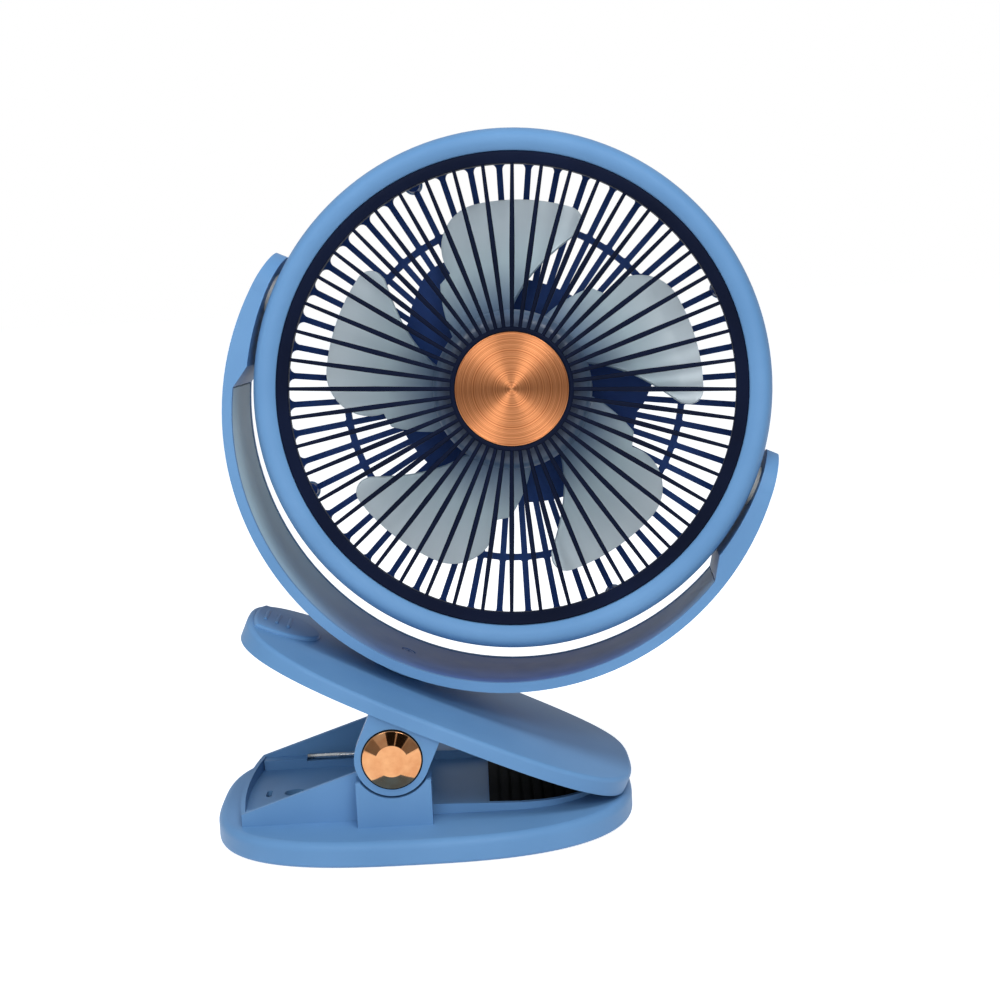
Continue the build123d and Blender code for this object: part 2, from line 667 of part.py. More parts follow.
def spring_path():
    """The wire's centre line about the hinge axis, from the foot on the shelf to the upper leg's end."""
    leg_x, leg_z = polar(SPRING_MEAN_RADIUS, SPRING_START_ANGLE)
    slope = math.radians(SPRING_LEG_SLOPE)
    foot_drop = leg_z - (SPRING_FOOT_Z - HINGE_Z)
    bend_x = leg_x - foot_drop / math.tan(slope)
    foot_z = SPRING_FOOT_Z - HINGE_Z
    leg_start = Vector(leg_x, SPRING_OUTER_Y, leg_z)
    end_x, end_z = spring_leg_end()
    leave = tangent_angle_from(end_x, end_z, SPRING_MEAN_RADIUS)
    last_angle = leave + 360 * (SPRING_TURNS + math.floor((SPRING_START_ANGLE - leave) / 360) + 1)
    y_step = -SPRING_PITCH
    quarters = math.ceil((last_angle - SPRING_START_ANGLE) / 90)
    step = (last_angle - SPRING_START_ANGLE) / quarters
    tail = SPRING_WIRE
    first_tangent = helix_tangent(SPRING_START_ANGLE, y_step)
    run_in = leg_start - first_tangent * tail
    bend = Vector(bend_x, run_in.Y, foot_z)
    foot = Vector(SPRING_FOOT_END_X - HINGE_X, run_in.Y, foot_z)
    edges = list(FilletPolyline(foot, bend, run_in, radius=SPRING_BEND_RADIUS).edges())
    edges.append(Line(run_in, leg_start).edge())
    for index in range(quarters):
        a0 = SPRING_START_ANGLE + index * step
        a1 = a0 + step
        p0 = helix_point(a0, SPRING_OUTER_Y, y_step)
        p1 = helix_point(a1, SPRING_OUTER_Y, y_step)
        edges += [arc.edge() for arc in biarc(p0, helix_tangent(a0, y_step), p1, helix_tangent(a1, y_step))]
    coil_end = helix_point(last_angle, SPRING_OUTER_Y, y_step)
    last_tangent = helix_tangent(last_angle, y_step)
    run_out = coil_end + last_tangent * tail
    upper_end = Vector(end_x, run_out.Y, end_z)
    edges.append(Line(coil_end, run_out).edge())
    edges.append(Line(run_out, upper_end).edge())
    return edges


def least_coil_gap():
    """The least distance of the wire's surface to itself, measured on points of its centre line."""
    path = Wire(spring_path())
    count = 600
    points = [path @ (index / count) for index in range(count + 1)]
    apart = int(10.0 / (path.length / count))
    least = path.length
    for index, first in enumerate(points):
        for second in points[index + apart:]:
            least = min(least, (second - first).length)
    return least - SPRING_WIRE


def torsion_spring(side):
    edges = spring_path()
    path = Wire(edges)
    section = Plane(origin=path @ 0, z_dir=path % 0) * Circle(SPRING_WIRE / 2)
    wire = sweep(section, path=path)
    if side < 0:
        wire = mirror(wire, Plane.XZ)
    return Pos(HINGE_X, 0, HINGE_Z) * wire


# ---------------------------------------------------------------- upper jaw
JAW_PLATE_UNDER = JAW_TOP - JAW_PLATE_THICK        # underside of the plate at its edge
COVER_TOP_N = JAW_PLATE_UNDER - 0.5
COVER_UNDER_N = COVER_TOP_N - JAW_COVER_THICK
SWIVEL_BOSS_UNDER = JAW_CROWN_TOP - SWIVEL_BOSS_DEPTH
STEM_END_N = SWIVEL_BOSS_UNDER - SEAT_GAP
COVER_SCREW_SEAT = COVER_UNDER_N + 1.3
COVER_SCREW_NEAR_U = JAW_COVER_START_U + 8.0
COVER_SCREW_FAR_U = JAW_TIP_U - 21.0
COVER_SCREW_FAR_Y = JAW_PAD_HALF_WIDTH + SCREW_HEAD_RADIUS + 0.5
COVER_SCREWS = (
    (COVER_SCREW_NEAR_U, -27.0),
    (COVER_SCREW_NEAR_U, 27.0),
    (COVER_SCREW_FAR_U, -COVER_SCREW_FAR_Y),
    (COVER_SCREW_FAR_U, COVER_SCREW_FAR_Y),
)


def jaw_outline(inset=0.0):
    oval = oval_face(JAW_HALF_LENGTH, JAW_HALF_WIDTH, JAW_POWER_HANDLE, JAW_POWER_TIP, inset)
    return Pos(JAW_CENTRE_U, 0) * oval


def crowned_block(top):
    """A block whose top is bowed lengthwise and across, highest in the jaw's middle."""
    half = JAW_HALF_WIDTH + 8
    side_drop = JAW_CROWN_ACROSS * (half / JAW_HALF_WIDTH) ** 2
    sections = []
    for index in range(5):
        along = (index - 2) * (JAW_HALF_LENGTH + 6) / 2
        level = top - JAW_CROWN_ALONG * (along / JAW_HALF_LENGTH) ** 2
        section = wire_face(
            Spline((-half, level - side_drop), (0, level), (half, level - side_drop)),
            Line((half, level - side_drop), (half, -30)),
            Line((half, -30), (-half, -30)),
            Line((-half, -30), (-half, level - side_drop)),
        )
        sections.append(Plane((JAW_CENTRE_U + along, 0, 0), (0, 1, 0), (1, 0, 0)) * section)
    return loft(sections)


def jaw_level(u):
    """The level of the skirt's lower edge along the jaw."""
    left = JAW_CENTRE_U - JAW_HALF_LENGTH
    share = (u - left) / (2 * JAW_HALF_LENGTH)
    return JAW_TOP - JAW_SKIRT_HANDLE + share * (JAW_SKIRT_HANDLE - JAW_SKIRT_TIP)


def ear(side):
    profile = Circle(EAR_RADIUS) + Pos(0, JAW_TOP / 2 - 1) * Rectangle(2 * EAR_RADIUS, JAW_TOP - 2)
    y0 = min(side * EAR_INNER_Y, side * EAR_OUTER_Y)
    block = face_xz(profile, y0, y0 + EAR_THICK)
    block -= cylinder_y(HINGE_PIN_RADIUS + RUN_FIT, y0 - 1, y0 + EAR_THICK + 1)
    seat = side * (EAR_OUTER_Y - CAP_RECESS)
    block -= cylinder_y(CAP_RADIUS + FACE_GAP, seat, seat + side * 5)
    return block


def thumb_pad():
    """A low raised oval with three short bars on it."""
    plan = Pos(THUMB_PAD_U, 0) * Ellipse(THUMB_PAD_LENGTH / 2, THUMB_PAD_WIDTH / 2)
    plan = plan & jaw_outline(2.2)
    raised = extrude(plan, amount=FAR) & crowned_block(JAW_CROWN_TOP + THUMB_PAD_RISE)
    raised = raised - box(-FAR, FAR, -FAR, FAR, -FAR, JAW_TOP - 1)
    rim = raised.edges().filter_by(lambda edge: edge.bounding_box().min.Z > JAW_TOP + 0.5)
    raised = fillet(rim, THUMB_PAD_RISE * 0.8)
    for index in range(THUMB_BAR_COUNT):
        u = THUMB_BARS_U + (index - (THUMB_BAR_COUNT - 1) / 2) * THUMB_BAR_PITCH
        level = jaw_surface(u, 0) + THUMB_PAD_RISE
        half = THUMB_BAR_LENGTH / 2
        bar = cylinder_y(THUMB_BAR_RADIUS, -half, half)
        bar += Pos(0, half, 0) * Sphere(THUMB_BAR_RADIUS)
        bar += Pos(0, -half, 0) * Sphere(THUMB_BAR_RADIUS)
        raised += Pos(u, 0, level - 0.1) * bar
    return raised


def jaw_shell():
    body = Pos(0, 0, -JAW_TOP) * extrude(jaw_outline(), amount=3 * JAW_TOP)
    body = body & crowned_block(JAW_CROWN_TOP)
    rim = body.edges().filter_by(lambda edge: edge.bounding_box().min.Z > JAW_TOP - 2)
    body = fillet(rim, JAW_EDGE_ROUND)
    hollow = Pos(0, 0, -JAW_TOP - 1) * extrude(jaw_outline(JAW_SKIRT_THICK), amount=3 * JAW_TOP)
    hollow = hollow & crowned_block(JAW_CROWN_TOP - JAW_PLATE_THICK)
    for u, y in COVER_SCREWS:
        hollow -= cylinder_z(SCREW_BOSS_RADIUS, COVER_TOP_N, 60, u, y)
    hollow -= cylinder_z(SWIVEL_BOSS_RADIUS, SWIVEL_BOSS_UNDER, 60, STEM_U)
    body -= hollow
    below = make_face(
        Polyline((-FAR, -FAR), (-FAR, jaw_level(-FAR)), (FAR, jaw_level(FAR)), (FAR, -FAR), close=True)
    )
    body -= face_xz(below, -FAR, FAR)
    for u, y in COVER_SCREWS:
        body -= cylinder_z(SCREW_RADIUS, COVER_TOP_N - 1, JAW_TOP - 0.7, u, y)
    body -= cylinder_z(STEM_RADIUS + RUN_FIT, 5, 40, STEM_U)
    for side in (-1, 1):
        body += ear(side)
    body += thumb_pad()
    body = JAW_FRAME * body
    return body - box(-FAR, FAR, -FAR, FAR, -FAR, PLATE_TOP + SEAT_GAP)


def cover_plan(inset=0.0):
    plan = jaw_outline(JAW_SKIRT_THICK + FACE_GAP + inset)
    return plan & (Pos(JAW_COVER_START_U + inset + FAR / 2, 0) * Rectangle(FAR, FAR))


def jaw_cover():
    cover = Pos(0, 0, COVER_UNDER_N) * extrude(cover_plan(), amount=JAW_COVER_THICK)
    for u, y in COVER_SCREWS:
        cover -= cylinder_z(SCREW_RADIUS + 0.2, 0, 20, u, y)
        cover -= cylinder_z(SCREW_HEAD_RADIUS + 0.2, 0, COVER_SCREW_SEAT, u, y)
    return JAW_FRAME * cover


def jaw_cover_screws():
    length = JAW_TOP - 0.9 - COVER_SCREW_SEAT
    return group([JAW_FRAME * Pos(u, y, COVER_SCREW_SEAT) * screw(length) for u, y in COVER_SCREWS])


def jaw_pad():
    """The rubber sheet on the jaw's underside, with grip ribs across it."""
    plan = cover_plan(8.0)
    middle = (JAW_PAD_START_U + JAW_PAD_END_U) / 2
    plan = plan & (Pos(middle, 0) * Rectangle(JAW_PAD_END_U - JAW_PAD_START_U, 2 * JAW_PAD_HALF_WIDTH))
    under = COVER_UNDER_N - JAW_PAD_THICK
    pad = Pos(0, 0, under) * extrude(plan, amount=JAW_PAD_THICK)
    count = int((JAW_PAD_END_U - JAW_PAD_START_U) / PAD_RIB_PITCH)
    for index in range(1, count):
        u = JAW_PAD_START_U + index * PAD_RIB_PITCH
        pad -= box(u - 0.6, u + 0.6, -FAR, FAR, under - 1, under + PAD_RIB_DEPTH)
    return JAW_FRAME * pad


# ---------------------------------------------------------------- swivel
def yoke_level(n):
    """A level above the hinge, along the jaw's normal, as a height in the yoke's own frame."""
    return n - PIVOT_HEIGHT


def swivel_washer():
    top = yoke_level(STEM_END_N)
    ring = cylinder_z(SWIVEL_WASHER_RADIUS, top - SWIVEL_WASHER_THICK, top)
    ring -= cylinder_z(SWIVEL_SCREW_RADIUS + 0.1, top - 5, top + 5)
    return YOKE_FRAME * ring


def swivel_spring_washer():
    top = yoke_level(STEM_END_N) - SWIVEL_WASHER_THICK
    ring = cylinder_z(SWIVEL_SCREW_HEAD_RADIUS, top - SWIVEL_SPRING_THICK, top)
    ring -= cylinder_z(SWIVEL_SCREW_RADIUS + 0.1, top - 5, top + 5)
    ring -= Rot(0, 0, 30) * box(0, 10, -0.35, 0.35, top - 5, top + 5)
    return YOKE_FRAME * ring


def swivel_screw():
    seat = yoke_level(STEM_END_N) - SWIVEL_WASHER_THICK - SWIVEL_SPRING_THICK
    head = cylinder_z(SWIVEL_SCREW_HEAD_RADIUS, seat - 2.2, seat)
    head = fillet(edges_at(head, Axis.Z, seat - 2.2), 0.8)
    body = head + cylinder_z(SWIVEL_SCREW_RADIUS, seat - 0.5, seat + 9)
    slot = box(-2.4, 2.4, -0.4, 0.4, seat - 3, seat - 1.2)
    return YOKE_FRAME * (body - slot - Rot(0, 0, 90) * slot)


# ---------------------------------------------------------------- yoke
YOKE_BOTTOM = -YOKE_DROP - YOKE_OUTER_RADIUS
RIM_RADIUS = YOKE_OUTER_RADIUS - YOKE_RIM_DEPTH
LINER_INNER_RADIUS = RIM_RADIUS + 0.2
ARM_INNER_RADIUS = HEAD_RADIUS + YOKE_ARM_GAP


def yoke_side(inset=0.0):
    """The yoke's outline seen along the pivot line: wide below, narrowing to round tips."""
    bottom = YOKE_HALF_WIDTH_BOTTOM - inset
    tip = YOKE_HALF_WIDTH_PIVOT - inset
    low = YOKE_BOTTOM - 5
    bulge = (bottom * 0.36 + tip * 0.64) + 1.6
    face = wire_face(
        Line((-bottom, low), (bottom, low)),
        ThreePointArc((bottom, low), (bulge, low * 0.4), (tip, 0)),
        ThreePointArc((tip, 0), (0, tip), (-tip, 0)),
        ThreePointArc((-tip, 0), (-bulge, low * 0.4), (-bottom, low)),
    )
    return Plane.YZ * face


def yoke_slab(inset=0.0):
    return Pos(-FAR, 0, 0) * extrude(yoke_side(inset), amount=2 * FAR, dir=(1, 0, 0))


def yoke_ring(radius):
    return cylinder_y(radius, -40, 40, 0, -YOKE_DROP)


def yoke_shell():
    outside = yoke_ring(YOKE_OUTER_RADIUS) & yoke_slab()
    channel = outside - yoke_ring(RIM_RADIUS)
    channel -= yoke_ring(YOKE_OUTER_RADIUS - YOKE_WALL) & yoke_slab(YOKE_LIP_THICK)
    shell = channel
    foot_x = math.sqrt(RIM_RADIUS**2 - (ARM_FOOT_Z + YOKE_DROP) ** 2)
    shoulder_x = math.sqrt(ARM_INNER_RADIUS**2 - ARM_SHOULDER_Z**2)
    for side in (-1, 1):
        plan = make_face(
            Polyline(
                (side * FAR, ARM_FOOT_Z - 8),
                (side * foot_x, ARM_FOOT_Z),
                (side * shoulder_x, ARM_SHOULDER_Z),
                (side * HEAD_RADIUS * 0.6, ARM_SHOULDER_Z),
                (side * HEAD_RADIUS * 0.6, 40),
                (side * FAR, 40),
                close=True,
            )
        )
        shell += outside & face_xz(plan, -40, 40)
    shell -= cylinder_y(ARM_INNER_RADIUS, -40, 40)
    shell += cylinder_z(STEM_RADIUS + 2, YOKE_BOTTOM + 0.5, LINER_SEAT_Z)
    shell += cylinder_z(STEM_COLLAR_RADIUS, yoke_level(JAW_CROWN_TOP + SEAT_GAP), YOKE_BOTTOM + 2)
    shell += cylinder_z(STEM_RADIUS, yoke_level(STEM_END_N), YOKE_BOTTOM + 1)
    shell -= cylinder_z(SWIVEL_SCREW_RADIUS, yoke_level(STEM_END_N) - 1, yoke_level(STEM_END_N) + 7)
    shell -= cylinder_z(SCREW_RADIUS, LINER_SEAT_Z - 4.4, LINER_SEAT_Z + 3)
    for side in (-1, 1):
        shell -= cylinder_x(PIVOT_PIN_RADIUS + RUN_FIT, side * HEAD_RADIUS, side * FAR)
        shell -= cylinder_x(PIVOT_COVER_RADIUS + FACE_GAP, side * PIVOT_POCKET_X, side * FAR)
        shell -= cylinder_x(PIVOT_WASHER_RADIUS + FACE_GAP, side * HEAD_RADIUS, side * PIVOT_WASHER_SEAT_X)
    return YOKE_FRAME * shell


LINER_SEAT_Z = -YOKE_DROP - LINER_INNER_RADIUS - LINER_THICK
LINER_RECESS_RADIUS = SCREW_HEAD_RADIUS + 0.3
LINER_SCREW_SUNK = 0.1    # how far its head lies below the lining
PIVOT_WASHER_SEAT_X = ARM_INNER_RADIUS + 0.2
PIVOT_POCKET_X = ARM_INNER_RADIUS + 1.9
PIVOT_COVER_RADIUS = PIVOT_HEAD_RADIUS + 0.4
ARM_OUTER_X = math.sqrt(YOKE_OUTER_RADIUS**2 - YOKE_DROP**2)
PIVOT_COVER_X = ARM_OUTER_X - PIVOT_COVER_THICK


def yoke_liner():
    """The inner lining that closes the yoke's channel between its lips."""
    ring = yoke_ring(LINER_INNER_RADIUS + LINER_THICK) - yoke_ring(LINER_INNER_RADIUS)
    liner = ring & yoke_slab(YOKE_LIP_THICK + FACE_GAP)
    reach_x, reach_z = polar(FAR, -90 + LINER_HALF_ANGLE)
    wedge = make_face(
        Polyline(
            (0, 0),
            (reach_x, reach_z),
            (reach_x, -FAR),
            (-reach_x, -FAR),
            (-reach_x, reach_z),
            close=True,
        )
    )
    liner = liner & (Pos(0, 0, -YOKE_DROP) * face_xz(wedge, -50, 50))
    top = LINER_SEAT_Z + LINER_THICK
    liner -= cylinder_z(LINER_RECESS_RADIUS, top - LINER_RECESS_DEPTH, top + 3)
    liner -= cylinder_z(SCREW_RADIUS + 0.2, top - 5, top + 3)
    return YOKE_FRAME * liner


def liner_screw():
    seat = LINER_SEAT_Z + LINER_THICK - LINER_RECESS_DEPTH
    return YOKE_FRAME * Pos(0, 0, seat) * Rot(180, 0, 0) * screw(4.6, LINER_RECESS_DEPTH - LINER_SCREW_SUNK)


def pivot_pins():
    """Two headed pins, pressed into the head's bosses, that turn in the yoke's arms."""
    inner = HEAD_RADIUS - PIVOT_PIN_INTO_HEAD
    head_x = PIVOT_POCKET_X + SEAT_GAP
    pins = []
    for side in (-1, 1):
        pin = cylinder_x(PIVOT_PIN_RADIUS, side * inner, side * (head_x + 0.5))
        head = cylinder_x(PIVOT_HEAD_RADIUS, side * head_x, side * (head_x + PIVOT_HEAD_THICK))
        pins.append(HEAD_FRAME * (pin + head))
    return group(pins)


def pivot_washers():
    rings = []
    for side in (-1, 1):
        ring = cylinder_x(PIVOT_WASHER_RADIUS, side * (HEAD_RADIUS + SEAT_GAP), side * PIVOT_WASHER_SEAT_X)
        ring -= cylinder_x(PIVOT_PIN_RADIUS + RUN_FIT, side * HEAD_RADIUS, side * FAR)
        rings.append(YOKE_FRAME * ring)
    return group(rings)


def pivot_cover(side):
    """A thin cover over the pin, flush with the arm's outer face."""
    plug = cylinder_x(PIVOT_COVER_RADIUS, side * PIVOT_COVER_X, side * FAR)
    return YOKE_FRAME * (plug & yoke_ring(YOKE_OUTER_RADIUS))


# ---------------------------------------------------------------- head
GRILLE_FRONT_Y = BEZEL_FRONT_Y + GRILLE_SET_BACK
GRILLE_BACK_Y = GRILLE_FRONT_Y + GRILLE_THICK
FLANGE_RADIUS = BEZEL_INNER_RADIUS + GRILLE_SEAT_OVERLAP
REAR_GRILLE_BACK_Y = REAR_FACE_Y - REAR_LIP_THICK
REAR_GRILLE_FRONT_Y = REAR_GRILLE_BACK_Y - REAR_GRILLE_THICK
POD_BACK_Y = REAR_GRILLE_BACK_Y + POD_DEPTH


def revolved(*edges):
    """A solid turned about the head's axis from a closed outline drawn as (radius, y)."""
    return revolve(wire_face(*edges), Axis.Y, 360)


def front_bezel():
    joint = (HEAD_RADIUS, BEZEL_JOINT_Y)
    nose = (BEZEL_NOSE_RADIUS, BEZEL_FRONT_Y)
    inner = (BEZEL_INNER_RADIUS, BEZEL_INNER_Y)
    wall = HEAD_RADIUS - HEAD_WALL
    back = GRILLE_BACK_Y - FACE_GAP - 1.0
    return HEAD_FRAME * revolved(
        Spline(joint, nose, inner, tangents=((0, -1), (-0.75, 0.66))),
        Line(inner, (BEZEL_INNER_RADIUS, back)),
        Line((BEZEL_INNER_RADIUS, back), (FLANGE_RADIUS + 0.4, back)),
        Line((FLANGE_RADIUS + 0.4, back), (wall, back + 4.0)),
        Line((wall, back + 4.0), (wall, BEZEL_JOINT_Y)),
        Line((wall, BEZEL_JOINT_Y), joint),
    )


def front_grille():
    """Rim, hub ring and straight ribs in one moulding; the ribs are widest in their middle."""
    lip_y = GRILLE_BACK_Y - 1.0
    rim_outer = BEZEL_INNER_RADIUS - FACE_GAP
    inner = GRILLE_RIM_INNER_RADIUS
    rim = revolved(
        Line((inner, GRILLE_FRONT_Y + 0.5), (inner + 0.5, GRILLE_FRONT_Y)),
        Line((inner + 0.5, GRILLE_FRONT_Y), (rim_outer - 0.5, GRILLE_FRONT_Y)),
        Line((rim_outer - 0.5, GRILLE_FRONT_Y), (rim_outer, GRILLE_FRONT_Y + 0.5)),
        Line((rim_outer, GRILLE_FRONT_Y + 0.5), (rim_outer, lip_y)),
        Line((rim_outer, lip_y), (FLANGE_RADIUS, lip_y)),
        Line((FLANGE_RADIUS, lip_y), (FLANGE_RADIUS, lip_y + 2.0)),
        Line((FLANGE_RADIUS, lip_y + 2.0), (inner, lip_y + 2.0)),
        Line((inner, lip_y + 2.0), (inner, GRILLE_FRONT_Y + 0.5)),
    )
    hub = cylinder_y(HUB_RING_RADIUS, GRILLE_FRONT_Y, GRILLE_FRONT_Y + HUB_RING_DEPTH)
    front_edge = edges_at(hub, Axis.Y, GRILLE_FRONT_Y)
    hub = chamfer(front_edge, 0.6)
    start = HUB_RING_RADIUS - 1.0
    end = inner + 1.5
    rib = make_face(
        Polyline(
            (start, -RIB_WIDTH_AT_HUB / 2),
            (RIB_MIDDLE_RADIUS, -RIB_WIDTH_MIDDLE / 2),
            (end, -RIB_WIDTH_AT_RIM / 2),
            (end, RIB_WIDTH_AT_RIM / 2),
            (RIB_MIDDLE_RADIUS, RIB_WIDTH_MIDDLE / 2),
            (start, RIB_WIDTH_AT_HUB / 2),
            close=True,
        )
    )
    ribs = face_xz(rib, GRILLE_FRONT_Y + 0.3, GRILLE_FRONT_Y + RIB_DEPTH)
    pitch = 360 / GRILLE_RIB_COUNT
    turned = [Rot(0, -(GRILLE_RIB_PHASE + index * pitch), 0) * ribs for index in range(GRILLE_RIB_COUNT)]
    grille = rim + hub + turned
    pocket_back = HUB_DISC_BACK_Y
    grille -= cylinder_y(HUB_DISC_RADIUS + FACE_GAP, GRILLE_FRONT_Y - 5, pocket_back)
    recess = GRILLE_FRONT_Y + HUB_RING_DEPTH
    grille -= cylinder_y(HUB_RING_RADIUS - 2.0, pocket_back + 1.4, recess + 1)
    return HEAD_FRAME * grille


HUB_DISC_BACK_Y = GRILLE_FRONT_Y + 1.0


def hub_disc():
    """The spun disc in the hub ring, its face cut with fine rings."""
    front = HUB_DISC_BACK_Y - HUB_DISC_THICK
    disc = cylinder_y(HUB_DISC_RADIUS, front, HUB_DISC_BACK_Y)
    disc = chamfer(edges_at(disc, Axis.Y, front), 0.35)
    return HEAD_FRAME * disc


def rear_lobe_angles():
    pitch = 360 / REAR_RIB_COUNT
    step = REAR_RIB_COUNT // 4
    return [REAR_RIB_PHASE + (REAR_SCREW_FIRST + index * step) * pitch for index in range(4)]


def rear_ring():
    joint = (HEAD_RADIUS, BEZEL_JOINT_Y)
    waist = (HEAD_RADIUS - 0.5, 11.0)
    corner = (HEAD_RADIUS - 5.5, REAR_FACE_Y)
    wall = HEAD_RADIUS - HEAD_WALL
    spigot = wall - FACE_GAP
    seat = REAR_PLATE_RADIUS + FACE_GAP
    ring = revolved(
        Line(joint, waist),
        ThreePointArc(waist, (HEAD_RADIUS - 1.7, 19.8), corner),
        Line(corner, (REAR_LIP_RADIUS, REAR_FACE_Y)),
        Line((REAR_LIP_RADIUS, REAR_FACE_Y), (REAR_LIP_RADIUS, REAR_GRILLE_BACK_Y)),
        Line((REAR_LIP_RADIUS, REAR_GRILLE_BACK_Y), (seat, REAR_GRILLE_BACK_Y)),
        Line((seat, REAR_GRILLE_BACK_Y), (seat, REAR_GRILLE_FRONT_Y)),
        Line((seat, REAR_GRILLE_FRONT_Y), (wall - 0.5, 11.0)),
        Line((wall - 0.5, 11.0), (wall - 0.2, BEZEL_JOINT_Y + 3.0)),
        Line((wall - 0.2, BEZEL_JOINT_Y + 3.0), (spigot - 1.6, BEZEL_JOINT_Y + 1.5)),
        Line((spigot - 1.6, BEZEL_JOINT_Y + 1.5), (spigot - 1.6, BEZEL_JOINT_Y - SPIGOT_LENGTH)),
        Line((spigot - 1.6, BEZEL_JOINT_Y - SPIGOT_LENGTH), (spigot, BEZEL_JOINT_Y - SPIGOT_LENGTH)),
        Line((spigot, BEZEL_JOINT_Y - SPIGOT_LENGTH), (spigot, BEZEL_JOINT_Y)),
        Line((spigot, BEZEL_JOINT_Y), joint),
    )
    for side in (-1, 1):
        inner = HEAD_RADIUS - PIVOT_BOSS_DEPTH
        ring += cylinder_x(PIVOT_BOSS_RADIUS, side * inner, side * (HEAD_RADIUS - 1.5))
        pin_end = HEAD_RADIUS - PIVOT_PIN_INTO_HEAD
        ring -= cylinder_x(PIVOT_PIN_RADIUS, side * pin_end, side * FAR)
    for angle in rear_lobe_angles():
        x, z = polar(REAR_SCREW_RADIUS, angle)
        ring += cylinder_y(REAR_LOBE_RADIUS, REAR_GRILLE_BACK_Y, REAR_FACE_Y, x, z)
    for angle in rear_lobe_angles():
        x, z = polar(REAR_SCREW_RADIUS, angle)
        ring -= cylinder_y(SCREW_RADIUS + 0.2, 0, 40, x, z)
        ring -= cylinder_y(SCREW_HEAD_RADIUS + 0.2, REAR_FACE_Y - 1.2, 40, x, z)
    return HEAD_FRAME * ring


def pod_outline(extra=0.0):
    """The pod seen along the head's axis: an oval joined to a broad upper shoulder."""
    height = POD_SHOULDER_HIGH - POD_SHOULDER_LOW + 2 * extra
    middle = (POD_SHOULDER_HIGH + POD_SHOULDER_LOW) / 2
    shoulder = RectangleRounded(2 * (POD_HALF_WIDTH + extra), height, POD_CORNER_RADIUS + extra)
    return Ellipse(POD_HALF_WIDTH + extra, POD_HALF_HEIGHT + extra) + Pos(0, middle) * shoulder


def slot_faces():
    """The openings of the rear grille: an outer ring of rounded slots and an inner ring round the pod."""
    pitch = 360 / REAR_RIB_COUNT
    inner = REAR_RING_RADIUS + REAR_RING_WIDTH / 2
    bars = []
    for index in range(REAR_RIB_COUNT):
        bar = Pos(50, 0) * Rectangle(100, REAR_RIB_WIDTH)
        bars.append(Rot(0, 0, REAR_RIB_PHASE + index * pitch) * bar)
    middle_angle = math.radians(REAR_RIB_PHASE + pitch / 2)
    wedge = make_face(
        Polyline(
            (0, 0),
            polar(FAR, math.degrees(middle_angle) - pitch / 2),
            polar(FAR, math.degrees(middle_angle) + pitch / 2),
            close=True,
        )
    )
    slot = (Circle(REAR_SLOT_OUTER_RADIUS) - Circle(inner)) & wedge
    slot = slot - bars[0] - bars[1]
    outer_corners = slot.vertices().filter_by(lambda v: math.hypot(v.X, v.Y) > REAR_RING_RADIUS + 10)
    slot = fillet(outer_corners, 2.4)
    inner_corners = slot.vertices().filter_by(lambda v: math.hypot(v.X, v.Y) < inner + 0.5)
    slot = fillet(inner_corners, 0.7)
    outer_slots = [Rot(0, 0, index * pitch) * slot for index in range(REAR_RIB_COUNT)]
    inner_ring = Circle(REAR_RING_RADIUS - REAR_RING_WIDTH / 2) - pod_outline(0.6)
    inner_slots = inner_ring - bars
    return outer_slots, inner_slots


def rear_grille():
    """The rear grille with the pod's walls, in one moulding."""
    front = REAR_GRILLE_FRONT_Y
    back = REAR_GRILLE_BACK_Y
    body = cylinder_y(REAR_PLATE_RADIUS, front, back)
    outer_slots, inner_slots = slot_faces()
    cutters = [face_xz(slot, front - 1, back + 1) for slot in outer_slots]
    cutters += [face_xz(slot, front - 1, back + 1) for slot in inner_slots.faces() if slot.area > 1.0]
    body -= cutters
    tub = face_xz(pod_outline(), front, POD_BACK_Y)
    tub -= face_xz(pod_outline(-POD_WALL), back, POD_BACK_Y + 1)
    body += tub
    for x, z in POD_SCREWS:
        for side in (-1, 1):
            body += cylinder_y(SCREW_BOSS_RADIUS, back - 0.5, POD_BACK_Y, side * x, z)
    for angle in rear_lobe_angles():
        x, z = polar(REAR_SCREW_RADIUS, angle)
        body += cylinder_y(SCREW_BOSS_RADIUS - 0.6, front - 6.0, front + 0.5, x * 0.987, z * 0.987)
        body -= cylinder_y(SCREW_RADIUS, front - 5.0, back + 1, x, z)
    for x, z in POD_SCREWS:
        for side in (-1, 1):
            body -= cylinder_y(SCREW_RADIUS, POD_BACK_Y - 9, POD_BACK_Y + 1, side * x, z)
    body -= cylinder_y(MOTOR_NOSE_RADIUS + 0.1, front - 1, back + 1)
    for side in (-1, 1):
        body -= cylinder_y(SCREW_RADIUS + 0.2, front - 1, back + 1, side * MOTOR_SCREW_CIRCLE)
        body -= cylinder_y(SCREW_HEAD_RADIUS + 0.2, front - 1, front + 1.0, side * MOTOR_SCREW_CIRCLE)
    body -= socket_cut(0.15)
    return HEAD_FRAME * body


def socket_cut(extra):
    z0 = -POD_HALF_HEIGHT - 3
    z1 = -POD_HALF_HEIGHT + SOCKET_DEPTH + extra
    return Pos(0, SOCKET_Y, (z0 + z1) / 2) * socket_block(extra, z1 - z0)


def socket_block(extra, length):
    plan = RectangleRounded(SOCKET_WIDTH + 2 * extra, SOCKET_HEIGHT + 2 * extra, SOCKET_HEIGHT * 0.45 + extra)
    return Pos(0, 0, -length / 2) * extrude(plan, amount=length)


SOCKET_Y = BOARD_Y + BOARD_THICK + SOCKET_HEIGHT / 2


